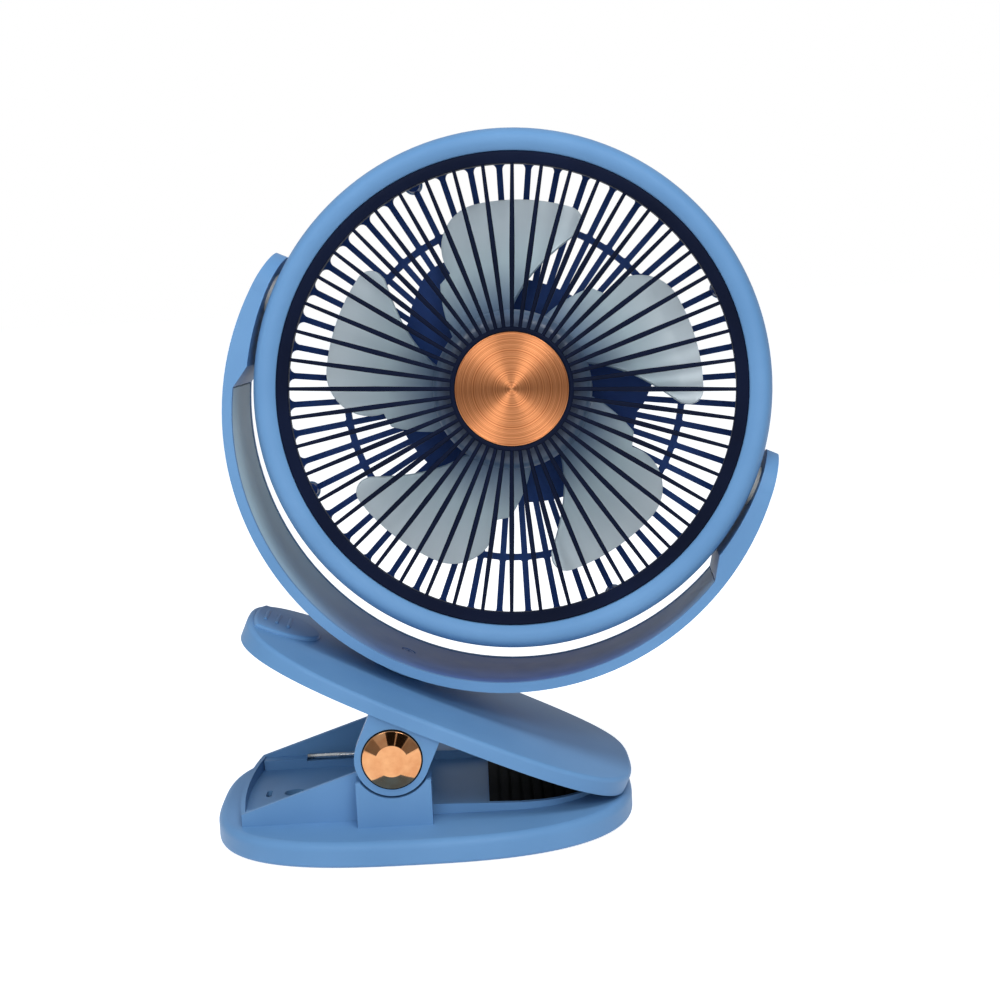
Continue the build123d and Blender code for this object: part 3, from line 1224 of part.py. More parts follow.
def usb_socket():
    """The metal charging socket with its tongue, open at the pod's lower edge."""
    z0 = -POD_HALF_HEIGHT + 0.4
    length = SOCKET_DEPTH - 0.4
    shell = socket_block(0.0, length) - Pos(0, 0, -0.6) * socket_block(-SOCKET_WALL, length)
    tongue = Box(SOCKET_WIDTH - 3.0, 0.7, length - 1.2)
    shell += Pos(0, 0, 0.55) * tongue
    return HEAD_FRAME * Pos(0, SOCKET_Y, z0 + length / 2) * shell


def pod_cover():
    front = POD_BACK_Y
    cover = face_xz(pod_outline(), front, front + POD_COVER_THICK)
    cover = fillet(edges_at(cover, Axis.Y, front + POD_COVER_THICK), POD_COVER_ROUND)
    for x, z in POD_SCREWS:
        for side in (-1, 1):
            cover -= cylinder_y(SCREW_RADIUS + 0.2, front - 1, front + 9, side * x, z)
            cover -= cylinder_y(SCREW_HEAD_RADIUS + 0.2, front + 0.9, front + 9, side * x, z)
    cover -= cylinder_y(BUTTON_RADIUS + 0.3, front - 1, front + 9, 0, BUTTON_Z)
    cover -= cylinder_y(LIGHT_PIPE_RADIUS, front - 1, front + 9, 0, LIGHT_PIPE_Z)
    return HEAD_FRAME * cover


def pod_screws():
    seat = POD_BACK_Y + 0.9
    screws = []
    for x, z in POD_SCREWS:
        for side in (-1, 1):
            screws.append(HEAD_FRAME * Pos(side * x, seat, z) * Rot(90, 0, 0) * screw(8.0))
    return group(screws)


def housing_screws():
    seat = REAR_FACE_Y - 1.2
    screws = []
    for angle in rear_lobe_angles():
        x, z = polar(REAR_SCREW_RADIUS, angle)
        screws.append(HEAD_FRAME * Pos(x, seat, z) * Rot(90, 0, 0) * screw(7.5))
    return group(screws)


# ---------------------------------------------------------------- motor and impeller
MOTOR_Y0 = REAR_GRILLE_BACK_Y
MOTOR_Y1 = MOTOR_Y0 + MOTOR_LENGTH
CAN_BACK_Y = MOTOR_Y1 - MOTOR_BELL_THICK
CAN_INNER_RADIUS = MOTOR_RADIUS - MOTOR_CAN_WALL
MAGNET_INNER_RADIUS = CAN_INNER_RADIUS - MAGNET_THICK
ARMATURE_RADIUS = MAGNET_INNER_RADIUS - ARMATURE_AIR_GAP
ARMATURE_Y0 = MOTOR_Y0 + 3.6


def motor_can():
    can = cylinder_y(MOTOR_RADIUS, MOTOR_Y0, CAN_BACK_Y)
    can -= cylinder_y(CAN_INNER_RADIUS, MOTOR_Y0 + 1.4, CAN_BACK_Y + 1)
    can += cylinder_y(MOTOR_NOSE_RADIUS, MOTOR_Y0 - MOTOR_NOSE_LENGTH, MOTOR_Y0 + 1.0)
    can -= cylinder_y(BUSH_RADIUS, MOTOR_Y0 - MOTOR_NOSE_LENGTH + 0.6, MOTOR_Y0 + 5)
    can -= cylinder_y(SHAFT_RADIUS + 0.5, MOTOR_Y0 - 9, MOTOR_Y0 + 5)
    for side in (-1, 1):
        can -= cylinder_y(SCREW_RADIUS, MOTOR_Y0 - 1, MOTOR_Y0 + 1.4, side * MOTOR_SCREW_CIRCLE)
    return HEAD_FRAME * can


def motor_end_bell():
    bell = cylinder_y(MOTOR_RADIUS, CAN_BACK_Y, MOTOR_Y1)
    bell += cylinder_y(BUSH_RADIUS + 1.2, CAN_BACK_Y - 2.0, CAN_BACK_Y + 0.5)
    bell -= cylinder_y(BUSH_RADIUS, CAN_BACK_Y - 2.5, CAN_BACK_Y - 2.0 + BUSH_LENGTH)
    for side in (-1, 1):
        bell += box(side * 6, side * 8, MOTOR_Y1 - 0.5, MOTOR_Y1 + 0.9, -6, -4)
    return HEAD_FRAME * bell


def motor_magnets():
    """Two arc magnets on the can's inner wall."""
    ring = cylinder_y(CAN_INNER_RADIUS, ARMATURE_Y0, ARMATURE_Y0 + ARMATURE_LENGTH)
    ring -= cylinder_y(MAGNET_INNER_RADIUS, ARMATURE_Y0 - 1, ARMATURE_Y0 + ARMATURE_LENGTH + 1)
    ring -= box(-4, 4, 0, 60, -30, 30)
    return HEAD_FRAME * group(ring.solids())


def motor_bushes():
    front = MOTOR_Y0 - MOTOR_NOSE_LENGTH + 0.6
    back = CAN_BACK_Y - 2.0 + BUSH_LENGTH
    rings = []
    for y0 in (front, back - BUSH_LENGTH):
        ring = cylinder_y(BUSH_RADIUS, y0, y0 + BUSH_LENGTH)
        ring -= cylinder_y(SHAFT_RADIUS + RUN_FIT, y0 - 1, y0 + BUSH_LENGTH + 1)
        rings.append(HEAD_FRAME * ring)
    return group(rings)


def motor_screws():
    seat = REAR_GRILLE_FRONT_Y + 1.0
    length = MOTOR_Y0 + 1.2 - seat
    screws = []
    for side in (-1, 1):
        screws.append(HEAD_FRAME * Pos(side * MOTOR_SCREW_CIRCLE, seat, 0) * Rot(-90, 0, 0) * screw(length))
    return group(screws)


def motor_shaft():
    shaft = cylinder_y(SHAFT_RADIUS, SHAFT_FRONT_Y, CAN_BACK_Y - 2.0 + BUSH_LENGTH - 0.3)
    return HEAD_FRAME * chamfer(shaft.edges().filter_by(GeomType.CIRCLE), 0.25)


def motor_armature():
    """A three-pole laminated core with its commutator, pressed on the shaft."""
    y1 = ARMATURE_Y0 + ARMATURE_LENGTH
    core = cylinder_y(ARMATURE_RADIUS, ARMATURE_Y0, y1)
    for index in range(3):
        x, z = polar(ARMATURE_RADIUS * 0.66, 30 + index * 120)
        core -= cylinder_y(ARMATURE_RADIUS * 0.27, ARMATURE_Y0 - 1, y1 + 1, x, z)
        gap = box(ARMATURE_RADIUS * 0.6, ARMATURE_RADIUS + 1, ARMATURE_Y0 - 1, y1 + 1, -0.9, 0.9)
        core -= Rot(0, -(30 + index * 120), 0) * gap
    core += cylinder_y(2.6, y1 - 0.5, CAN_BACK_Y - 2.4)
    core -= cylinder_y(SHAFT_RADIUS, ARMATURE_Y0 - 1, y1 + 20)
    return HEAD_FRAME * core


def blade_middle_angle(radius):
    """The blade's middle runs ahead near the hub and straightens towards the tip."""
    share = max(0.0, BLADE_STRAIGHT_RADIUS - radius) / (BLADE_STRAIGHT_RADIUS - IMPELLER_HUB_RADIUS)
    return BLADE_ROOT_LEAD * share**1.15


def blade_level(radius, angle):
    """The axial place of the blade's sheet: a screw surface with a slight hollow."""
    share = (angle - blade_middle_angle(radius)) / BLADE_SPAN_ANGLE
    return BLADE_MIDDLE_Y + BLADE_PITCH * share + BLADE_CAMBER * math.cos(math.pi * share)


def blade_section(distance):
    """A strip of the blade's sheet in a plane square to the blade's index line, wider than the blade."""
    lower = []
    upper = []
    for index in range(7):
        across = BLADE_SHEET_HALF_WIDTH * (index / 3 - 1)
        angle = math.degrees(math.atan2(across, distance))
        level = blade_level(math.hypot(distance, across), angle)
        lower.append((distance, level - BLADE_THICK / 2, across))
        upper.append((distance, level + BLADE_THICK / 2, across))
    return wire_face(
        Spline(*lower),
        Line(lower[-1], upper[-1]),
        Spline(*reversed(upper)),
        Line(upper[0], lower[0]),
    )


def blade_plan():
    """The blade seen along the axis, from inside the hub to its rounded tip."""
    root = IMPELLER_HUB_RADIUS - 2.0
    half = BLADE_SPAN_ANGLE / 2
    count = 7
    clockwise = []
    anticlockwise = []
    for index in range(count):
        radius = root + (IMPELLER_TIP_RADIUS - root) * index / (count - 1)
        middle = blade_middle_angle(radius)
        clockwise.append(polar(radius, middle - half))
        anticlockwise.append(polar(radius, middle + half))
    plan = wire_face(
        Spline(*clockwise),
        ThreePointArc(clockwise[-1], polar(IMPELLER_TIP_RADIUS, 0), anticlockwise[-1]),
        Spline(*reversed(anticlockwise)),
        Line(anticlockwise[0], clockwise[0]),
    )
    corners = plan.vertices().filter_by(lambda v: math.hypot(v.X, v.Y) > IMPELLER_TIP_RADIUS - 1)
    corners = corners.sort_by(Axis.Y)
    plan = fillet(corners[-1], BLADE_TIP_CORNER)
    corners = plan.vertices().filter_by(lambda v: math.hypot(v.X, v.Y) > IMPELLER_TIP_RADIUS - 1)
    return fillet(corners.sort_by(Axis.Y)[0], BLADE_TIP_CORNER_TRAILING)


def fan_blade():
    """The impeller: a cup-shaped hub with five swept blades."""
    hub = cylinder_y(IMPELLER_HUB_RADIUS, IMPELLER_FRONT_Y, IMPELLER_FRONT_Y + IMPELLER_HUB_DEPTH)
    hub = fillet(edges_at(hub, Axis.Y, IMPELLER_FRONT_Y), IMPELLER_HUB_ROUND)
    inner = IMPELLER_HUB_RADIUS - IMPELLER_HUB_WALL
    hollow_front = IMPELLER_FRONT_Y + IMPELLER_HUB_WALL
    sheet = loft([blade_section(14.0 + 12.0 * index) for index in range(6)])
    blade = sheet & face_xz(blade_plan(), -40, 40)
    turns = [BLADE_FIRST_ANGLE + index * 360 / BLADE_COUNT for index in range(BLADE_COUNT)]
    blades = [Rot(0, -turn, 0) * blade for turn in turns]
    impeller = hub + blades
    impeller -= cylinder_y(inner, hollow_front, 60)
    boss_back = IMPELLER_FRONT_Y + IMPELLER_HUB_DEPTH - 2
    impeller += cylinder_y(IMPELLER_BOSS_RADIUS, hollow_front - 0.5, boss_back)
    impeller -= cylinder_y(SHAFT_RADIUS, -60, 60)
    return HEAD_FRAME * impeller


def blade_nut():
    nut = face_xz(RegularPolygon(NUT_RADIUS * 0.8, 6), IMPELLER_FRONT_Y - NUT_LENGTH, IMPELLER_FRONT_Y)
    nut += cylinder_y(NUT_RADIUS, IMPELLER_FRONT_Y - 0.8, IMPELLER_FRONT_Y)
    nut -= cylinder_y(SHAFT_RADIUS, -60, 60)
    return HEAD_FRAME * nut


# ---------------------------------------------------------------- electrics
def battery_cell():
    half = CELL_LENGTH / 2
    cell = cylinder_x(CELL_RADIUS, -half, half, POD_MIDDLE_Y, CELL_Z)
    cell = fillet(cell.edges().filter_by(GeomType.CIRCLE), 0.5)
    cell += cylinder_x(3.0, half - 0.5, half + 0.8, POD_MIDDLE_Y, CELL_Z)
    return HEAD_FRAME * cell


POD_MIDDLE_Y = REAR_GRILLE_BACK_Y + POD_DEPTH / 2


def control_board():
    plan = pod_outline(-POD_WALL - 0.5) & (Pos(0, BOARD_TOP_Z - 50) * Rectangle(BOARD_WIDTH, 100))
    return HEAD_FRAME * face_xz(plan, BOARD_Y, BOARD_Y + BOARD_THICK)


def board_parts():
    """Push switch and indicator on the board's rear face, controller chip and coil on its front face."""
    back = BOARD_Y + BOARD_THICK
    half = SWITCH_SIZE / 2
    switch = box(-half, half, back, back + SWITCH_HEIGHT, BUTTON_Z - half, BUTTON_Z + half)
    chip = box(-14, -8, BOARD_Y - 1.6, BOARD_Y, -28, -22)
    coil = cylinder_y(3.2, BOARD_Y - 3.0, BOARD_Y, 10, -26)
    lamp = box(-12, -9, back, back + 1.2, -23, -21)
    return HEAD_FRAME * group([switch, chip, coil, lamp])


def light_pipe():
    """A clear rod from the board's lamp level to the pod cover's outer face."""
    front = BOARD_Y + BOARD_THICK + 3.0
    rod = cylinder_y(LIGHT_PIPE_RADIUS, front, POD_BACK_Y + POD_COVER_THICK, 0, LIGHT_PIPE_Z)
    rod += cylinder_y(LIGHT_PIPE_RADIUS + 0.8, POD_BACK_Y - 1.2, POD_BACK_Y, 0, LIGHT_PIPE_Z)
    return HEAD_FRAME * rod


def power_button():
    """A round button in the pod cover whose stem stands just off the switch."""
    outer = POD_BACK_Y + POD_COVER_THICK + BUTTON_PROUD
    flange_back = POD_BACK_Y - BUTTON_TRAVEL * 0.5
    switch_top = BOARD_Y + BOARD_THICK + SWITCH_HEIGHT
    button = cylinder_y(BUTTON_RADIUS, flange_back - 0.5, outer, 0, BUTTON_Z)
    button = fillet(edges_at(button, Axis.Y, outer), 0.6)
    button += cylinder_y(BUTTON_RADIUS + 0.9, flange_back - 1.2, flange_back, 0, BUTTON_Z)
    button += cylinder_y(1.5, switch_top + BUTTON_TRAVEL + 0.1, flange_back - 1.0, 0, BUTTON_Z)
    return HEAD_FRAME * button


def lead(*points):
    """An insulated lead along a bent path."""
    path = FilletPolyline(*points, radius=1.6)
    section = Plane(origin=path @ 0, z_dir=path % 0) * Circle(WIRE_RADIUS)
    return sweep(section, path=path)


def wiring():
    """Leads from the motor's tabs and from the cell's ends to the board."""
    leads = []
    tab_y = MOTOR_Y1 + WIRE_RADIUS
    board_back = BOARD_Y + BOARD_THICK
    board_middle = BOARD_Y + BOARD_THICK / 2
    for side in (-1, 1):
        x = side * 7
        leads.append(lead((x, tab_y, -6), (x, tab_y, -22), (x, board_back, -22)))
        start = side * (CELL_LENGTH / 2 + (0.8 if side > 0 else 0.0))
        run = side * 35.2
        leads.append(
            lead(
                (start, POD_MIDDLE_Y, CELL_Z),
                (run, POD_MIDDLE_Y, CELL_Z),
                (run, POD_MIDDLE_Y, 0),
                (side * 19, board_middle, -12),
                (side * 19, board_middle, BOARD_TOP_Z),
            )
        )
    return HEAD_FRAME * group(leads)


# ---------------------------------------------------------------- every node
NODES = {
    "base_shell": base_shell,
    "base_bottom_plate": bottom_plate,
    "base_screws": base_screws,
    "base_anti_slip_pad": anti_slip_pad,
    "base_jaw_pad": base_pad,
    "hinge_pin": hinge_pin,
    "hinge_washers": hinge_washers,
    "torsion_spring_front": lambda: torsion_spring(-1),
    "torsion_spring_rear": lambda: torsion_spring(1),
    "jaw_shell": jaw_shell,
    "jaw_cover": jaw_cover,
    "jaw_cover_screws": jaw_cover_screws,
    "jaw_pad": jaw_pad,
    "hinge_cap_front": lambda: hinge_cap(-1),
    "hinge_cap_rear": lambda: hinge_cap(1),
    "yoke_shell": yoke_shell,
    "yoke_liner": yoke_liner,
    "liner_screw": liner_screw,
    "swivel_washer": swivel_washer,
    "swivel_spring_washer": swivel_spring_washer,
    "swivel_screw": swivel_screw,
    "pivot_washers": pivot_washers,
    "pivot_cover_left": lambda: pivot_cover(-1),
    "pivot_cover_right": lambda: pivot_cover(1),
    "pivot_pins": pivot_pins,
    "front_bezel": front_bezel,
    "front_grille": front_grille,
    "hub_disc": hub_disc,
    "rear_ring": rear_ring,
    "rear_grille": rear_grille,
    "housing_screws": housing_screws,
    "pod_cover": pod_cover,
    "pod_screws": pod_screws,
    "motor_can": motor_can,
    "motor_end_bell": motor_end_bell,
    "motor_magnets": motor_magnets,
    "motor_bushes": motor_bushes,
    "motor_screws": motor_screws,
    "motor_shaft": motor_shaft,
    "motor_armature": motor_armature,
    "fan_blade": fan_blade,
    "blade_nut": blade_nut,
    "battery_cell": battery_cell,
    "control_board": control_board,
    "board_parts": board_parts,
    "usb_socket": usb_socket,
    "light_pipe": light_pipe,
    "wiring": wiring,
    "power_button": power_button,
}


def main():
    os.makedirs("parts", exist_ok=True)
    for name, make in NODES.items():
        export_step(make(), f"parts/{name}.step")
    print(f"least gap between spring curls: {least_coil_gap():.2f} mm")


if __name__ == "__main__":
    main()
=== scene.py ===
"""A clip-on table fan: blue moulded head and clip, grey liner, smoked blades and copper trim.

Lengths are in millimetres until they go through mm(), unless a comment says metres. Angles are in degrees.
"""
import math

import bmesh
import bpy
from mathutils import Euler, Matrix, Vector


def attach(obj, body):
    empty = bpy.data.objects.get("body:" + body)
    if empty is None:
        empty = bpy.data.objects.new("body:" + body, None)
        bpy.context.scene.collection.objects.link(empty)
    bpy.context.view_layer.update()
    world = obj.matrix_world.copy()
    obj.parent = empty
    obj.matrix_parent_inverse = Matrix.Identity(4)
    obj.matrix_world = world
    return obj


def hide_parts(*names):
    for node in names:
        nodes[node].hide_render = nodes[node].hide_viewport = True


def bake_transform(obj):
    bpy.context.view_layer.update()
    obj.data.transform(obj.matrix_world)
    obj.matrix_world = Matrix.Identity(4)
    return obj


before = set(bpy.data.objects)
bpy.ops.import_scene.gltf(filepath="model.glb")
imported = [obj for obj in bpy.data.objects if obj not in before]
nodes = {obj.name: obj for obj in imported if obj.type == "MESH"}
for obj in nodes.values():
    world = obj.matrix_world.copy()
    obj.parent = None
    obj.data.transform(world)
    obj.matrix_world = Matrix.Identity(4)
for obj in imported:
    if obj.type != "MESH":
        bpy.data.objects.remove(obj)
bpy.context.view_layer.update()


def mm(length):
    return length / 1000.0


# ---------------------------------------------------------------- where the pieces are
def turned(x=0.0, y=0.0, z=0.0):
    """A turn in degrees about x, then y, then z."""
    return Euler((math.radians(x), math.radians(y), math.radians(z)), "XYZ").to_matrix().to_4x4()


def moved(x, y, z):
    return Matrix.Translation((mm(x), mm(y), mm(z)))


HINGE_X = -10.2
HINGE_Z = 34.0
JAW_FRAME = moved(HINGE_X, 0, HINGE_Z) @ turned(y=24.5)
YOKE_FRAME = JAW_FRAME @ moved(-6.01, 0, 135.16) @ turned(z=-4.6)
HEAD_FRAME = YOKE_FRAME @ turned(x=-4.5)

# ---------------------------------------------------------------- sizes of the pieces made here
# Along y, the head's axis, smaller is nearer to the front.
GRILLE_FRONT_Y = -17.8
GRILLE_RIM_OUTER = 85.85
GRILLE_RIM_INNER = 81.3
GRILLE_RIM_ROUND = 0.6
GRILLE_FLANGE = 88.5
FLANGE_FRONT_Y = -15.8
FLANGE_THICK = 2.0
RIB_COUNT = 48
RIB_PHASE = -0.7
RIB_STATIONS = ((21.5, 1.3), (30.0, 1.5), (50.0, 1.9), (66.0, 1.62), (82.6, 1.25))     # radius and width
RIB_FRONT_Y = -17.5
RIB_BACK_Y = -14.2
RIB_ROUND = 0.42
HUB_RING_RADIUS = 22.6
HUB_RING_DEPTH = 4.5
HUB_RING_ROUND = 0.7
HUB_RING_WALL = 2.0
HUB_FLOOR_DEPTH = 2.4
DISC_RADIUS = 20.7
DISC_FRONT_Y = -18.2
DISC_BACK_Y = -16.8
DISC_GAP = 0.15
DISC_SEAT_DEPTH = 1.0
DISC_HOLLOW = 0.1
DISC_PLAIN_EDGE = 0.7       # the ringed face stops this far inside the edge
DISC_EDGE_ROUND = 0.35
DISC_RING_PITCH = 0.8       # real rings are about 0.3 apart, and are drawn coarser so that they show
DISC_RING_DEPTH = 0.03
DISC_TOOL_MARK = 0.417      # the spacing of the tool's finer marks
CAP_RADIUS = 10.65
EAR_FACE_Y = 47.2
# Black rings round the hinge caps, put in as painted shadow of the gap between cap and ear.
SHADOW_RING_WIDTH = 0.45
SHADOW_RING_PROUD = 0.14
SHADOW_RING_FOOT_DEPTH = 0.6
IMPELLER_HUB_RADIUS = 29.5
IMPELLER_HUB_ROUND = 5.0
IMPELLER_HUB_WALL = 1.8
IMPELLER_FRONT_Y = -8.0
IMPELLER_BACK_Y = 9.0
IMPELLER_BOSS_RADIUS = 4.5
IMPELLER_BOSS_BACK_Y = 7.0
SHAFT_RADIUS = 1.5
IMPELLER_TIP_RADIUS = 70.5
BLADE_COUNT = 5
BLADE_FIRST_ANGLE = 113.0
BLADE_SPAN = 48.0
BLADE_THICK = 1.3
BLADE_EDGE_ROUND = 0.4
BLADE_ROOT_OVERLAP = 1.2                    # how deep a blade's root goes into the hub's wall
BLADE_STRAIGHT_RADIUS = 63.0                # inside this radius the blade sweeps ahead
BLADE_SWEEP = 24.0                          # and this far ahead at the hub
BLADE_SWEEP_POWER = 1.15
BLADE_LEVEL_Y = 2.5
BLADE_RISE = 13.0                           # from one side edge to the other
BLADE_CAMBER = 1.6
BLADE_TIP_CORNERS = {-1: 5.5, 1: 16.0}      # the round at each end of the tip


# ---------------------------------------------------------------- colours and shader nodes
def linear(hex_colour):
    """A display colour such as #7aa0cc as the linear colour that shaders take."""
    parts = [int(hex_colour[i:i + 2], 16) / 255.0 for i in (1, 3, 5)]
    return tuple(p / 12.92 if p <= 0.04045 else ((p + 0.055) / 1.055) ** 2.4 for p in parts) + (1.0,)


def put(tree, kind, settings=(), inputs=()):
    """Adds one node with its settings, and a value or a link for each input."""
    node = tree.nodes.new(kind)
    for name, value in dict(settings).items():
        setattr(node, name, value)
    for name, value in dict(inputs).items():
        if isinstance(value, bpy.types.NodeSocket):
            tree.links.new(value, node.inputs[name])
        else:
            node.inputs[name].default_value = value
    return node


def colour_ramp(tree, factor, stops):
    """A colour that follows a factor, from (place, display colour) pairs."""
    node = put(tree, "ShaderNodeValToRGB", inputs={"Fac": factor})
    band = node.color_ramp
    while len(band.elements) < len(stops):
        band.elements.new(0.5)
    for element, (place, colour) in zip(band.elements, stops):
        element.position = place
        element.color = linear(colour)
    return node.outputs["Color"]


def spread_over(tree, value, **limits):
    """A map range node's result: From_Min and so on give its limits."""
    inputs = {name.replace("_", " "): limit for name, limit in limits.items()}
    return put(tree, "ShaderNodeMapRange", inputs={"Value": value, **inputs}).outputs["Result"]


def finish_named(name, **values):
    """A material with one shader, and the values that are the same all over it."""
    material = bpy.data.materials.new(name)
    material.use_nodes = True
    tree = material.node_tree
    shader = tree.nodes["Principled BSDF"]
    for socket, value in values.items():
        shader.inputs[socket.replace("_", " ")].default_value = value
    place = put(tree, "ShaderNodeTexCoord").outputs["Object"]
    return material, tree, shader, place


def mould_grain(tree, shader, place, grain_mm, height_mm, strength=0.35):
    """A fine uneven skin, such as a spark-eroded mould leaves."""
    grain = put(tree, "ShaderNodeTexNoise", inputs={
        "Vector": place, "Scale": 1000.0 / grain_mm, "Detail": 2.0, "Roughness": 0.55})
    bump = put(tree, "ShaderNodeBump", inputs={
        "Height": grain.outputs["Fac"], "Distance": mm(height_mm), "Strength": strength})
    tree.links.new(bump.outputs["Normal"], shader.inputs["Normal"])
    return grain


def drift(tree, shader, place, patch_mm, low, high):
    """Two close colours that drift into each other over patches of that size."""
    cloud = put(tree, "ShaderNodeTexNoise", inputs={
        "Vector": place, "Scale": 1000.0 / patch_mm, "Detail": 3.0})
    colour = colour_ramp(tree, cloud.outputs["Fac"], ((0.35, low), (0.65, high)))
    tree.links.new(colour, shader.inputs["Base Color"])


def rough_drift(tree, shader, grain, low, high):
    """Roughness that changes a little with the skin's grain."""
    rough = spread_over(tree, grain.outputs["Fac"], To_Min=low, To_Max=high)
    tree.links.new(rough, shader.inputs["Roughness"])


def fine_skinned(name, low, high, rough_low, rough_high, sheen_level=0.5):
    """An even colour under a fine satin skin, with a soft, wide sheen on its rounds.

    The real grain is about 0.1 mm; it is drawn at 0.5 mm so that it shows.
    """
    material, tree, shader, place = finish_named(name, IOR=1.53, Specular_IOR_Level=sheen_level)
    drift(tree, shader, place, 45.0, low, high)
    grain = mould_grain(tree, shader, place, 0.5, 0.012)
    rough_drift(tree, shader, grain, rough_low, rough_high)
    return material


def thermoplastic_rubber(name, low, high):
    """Soft rubber moulded with a dull skin: hardly any sheen, a little dust in its grain."""
    material, tree, shader, place = finish_named(name, IOR=1.5, Specular_IOR_Level=0.15)
    drift(tree, shader, place, 6.0, low, high)
    grain = mould_grain(tree, shader, place, 0.7, 0.03, 0.5)
    rough_drift(tree, shader, grain, 0.72, 0.88)
    return material


def worked_metal(name, low, high, rough_low, rough_high, mark_mm=0.6):
    """Bare or plated metal that shows the marks of drawing or pressing."""
    material, tree, shader, place = finish_named(name, Metallic=1.0)
    drift(tree, shader, place, 3.0, low, high)
    grain = mould_grain(tree, shader, place, mark_mm, 0.01, 0.3)
    rough_drift(tree, shader, grain, rough_low, rough_high)
    return material


def head_place(tree, place):
    """Object coordinates turned into the head's own frame, with its axis along y."""
    return put(tree, "ShaderNodeMapping", {"vector_type": "TEXTURE"}, {
        "Vector": place,
        "Location": HEAD_FRAME.to_translation(),
        "Rotation": HEAD_FRAME.to_euler("XYZ")}).outputs["Vector"]


def distance_from_axis(tree, vector):
    """How far a point in the head's frame is from its axis, in metres."""
    flat = put(tree, "ShaderNodeVectorMath", {"operation": "MULTIPLY"}, {0: vector, 1: (1.0, 0.0, 1.0)})
    length = put(tree, "ShaderNodeVectorMath", {"operation": "LENGTH"}, {0: flat.outputs["Vector"]})
    return length.outputs["Value"]


def smoked_polycarbonate(name):
    """Clear polycarbonate tinted grey and polished by its mould.

    Its colour is painted by distance from the axis: deep blue near the hub, as painted shade of the dark pod
    behind it, and pale grey towards the tips, as painted light coming through them.
    """
    material, tree, shader, place = finish_named(name, IOR=1.58, Specular_IOR_Level=0.45)
    radius = distance_from_axis(tree, head_place(tree, place))
    share = spread_over(tree, radius, From_Min=mm(24.0), From_Max=mm(IMPELLER_TIP_RADIUS))
    # Painted shade near the hub, painted light towards the tips.
    painted_light_and_shade = colour_ramp(tree, share, (
        (0.0, "#4f6284"), (0.2, "#839bb3"), (0.5, "#c2d7df"), (0.78, "#cddce3"), (1.0, "#d5e1e7")))
    tree.links.new(painted_light_and_shade, shader.inputs["Base Color"])
    grain = mould_grain(tree, shader, place, 2.5, 0.004, 0.2)
    rough_drift(tree, shader, grain, 0.26, 0.34)
    return material


def smoked_liner(name):
    """Tinted ABS with a half-gloss skin.

    Painted light makes it greenish grey higher up, and painted shade slate blue down in the yoke's bend.
    """
    material, tree, shader, place = finish_named(name, IOR=1.53, Specular_IOR_Level=0.14)
    height = put(tree, "ShaderNodeSeparateXYZ", inputs={"Vector": place}).outputs["Z"]
    share = spread_over(tree, height, From_Min=mm(52.0), From_Max=mm(150.0))
    # Painted shade lower down, painted light higher up.
    painted_light_and_shade = colour_ramp(tree, share, (
        (0.0, "#2c559e"), (0.15, "#5179b0"), (0.4, "#9abace"), (0.7, "#bdd7dc"), (1.0, "#c5dadd")))
    tree.links.new(painted_light_and_shade, shader.inputs["Base Color"])
    grain = mould_grain(tree, shader, place, 9.0, 0.05, 0.25)
    rough_drift(tree, shader, grain, 0.34, 0.44)
    return material


def spun_copper(name):
    """An aluminium disc, spun, ringed by a pointed tool and dyed copper.

    Its rings throw light into an hourglass.
    """
    material, tree, shader, place = finish_named(
        name, Metallic=1.0, Anisotropic=0.96, Anisotropic_Rotation=0.25)
    radius = distance_from_axis(tree, head_place(tree, place))
    marks = put(tree, "ShaderNodeTexNoise", {"noise_dimensions": "1D"}, {
        "W": radius, "Scale": 1000.0 / DISC_TOOL_MARK, "Detail": 2.0})
    dye = colour_ramp(tree, marks.outputs["Fac"], ((0.3, "#be6e43"), (0.7, "#eaa26e")))
    tree.links.new(dye, shader.inputs["Base Color"])
    rough_drift(tree, shader, marks, 0.28, 0.4)
    round_it = put(tree, "ShaderNodeTangent", {"direction_type": "UV_MAP", "uv_map": "rings"})
    tree.links.new(round_it.outputs["Tangent"], shader.inputs["Tangent"])
    return material


def copper_chrome(name):
    """ABS plated and tinted copper, polished: it mirrors the room, with a faint haze from handling."""
    material, tree, shader, place = finish_named(name, Metallic=1.0)
    drift(tree, shader, place, 5.0, "#cc8c5e", "#d89f70")
    grain = mould_grain(tree, shader, place, 4.0, 0.004, 0.15)
    rough_drift(tree, shader, grain, 0.03, 0.08)
    return material


# ABS against a fine spark-eroded mould: even colour, broad soft sheen.
BLUE = fine_skinned("moulded_blue_abs", "#608cb8", "#6894c0", 0.4, 0.5, 0.25)
# The same blue ABS painted darker navy: painted shade for parts that sit in shade, such as the rear grille.
BLUE_IN_PAINTED_SHADE = fine_skinned("moulded_blue_abs_painted_shade", "#213f7c", "#284986", 0.42, 0.52, 0.15)
BLACK = fine_skinned("moulded_black_abs", "#080f22", "#0d162e", 0.34, 0.44, 0.06)
# Tinted mouldings, with light and shade painted into their colour by where they are.
LINER = smoked_liner("moulded_smoked_liner")
BLADES = smoked_polycarbonate("smoked_polycarbonate")
# Copper-coloured trim: a ringed disc and mirror-like caps.
COPPER_DISC = spun_copper("spun_copper_disc")
COPPER_CAP = copper_chrome("copper_chromed_cap")
# Thermoplastic rubber moulded dull: nearly black, hardly any sheen.
RUBBER = thermoplastic_rubber("moulded_black_rubber", "#060607", "#0b0b0d")
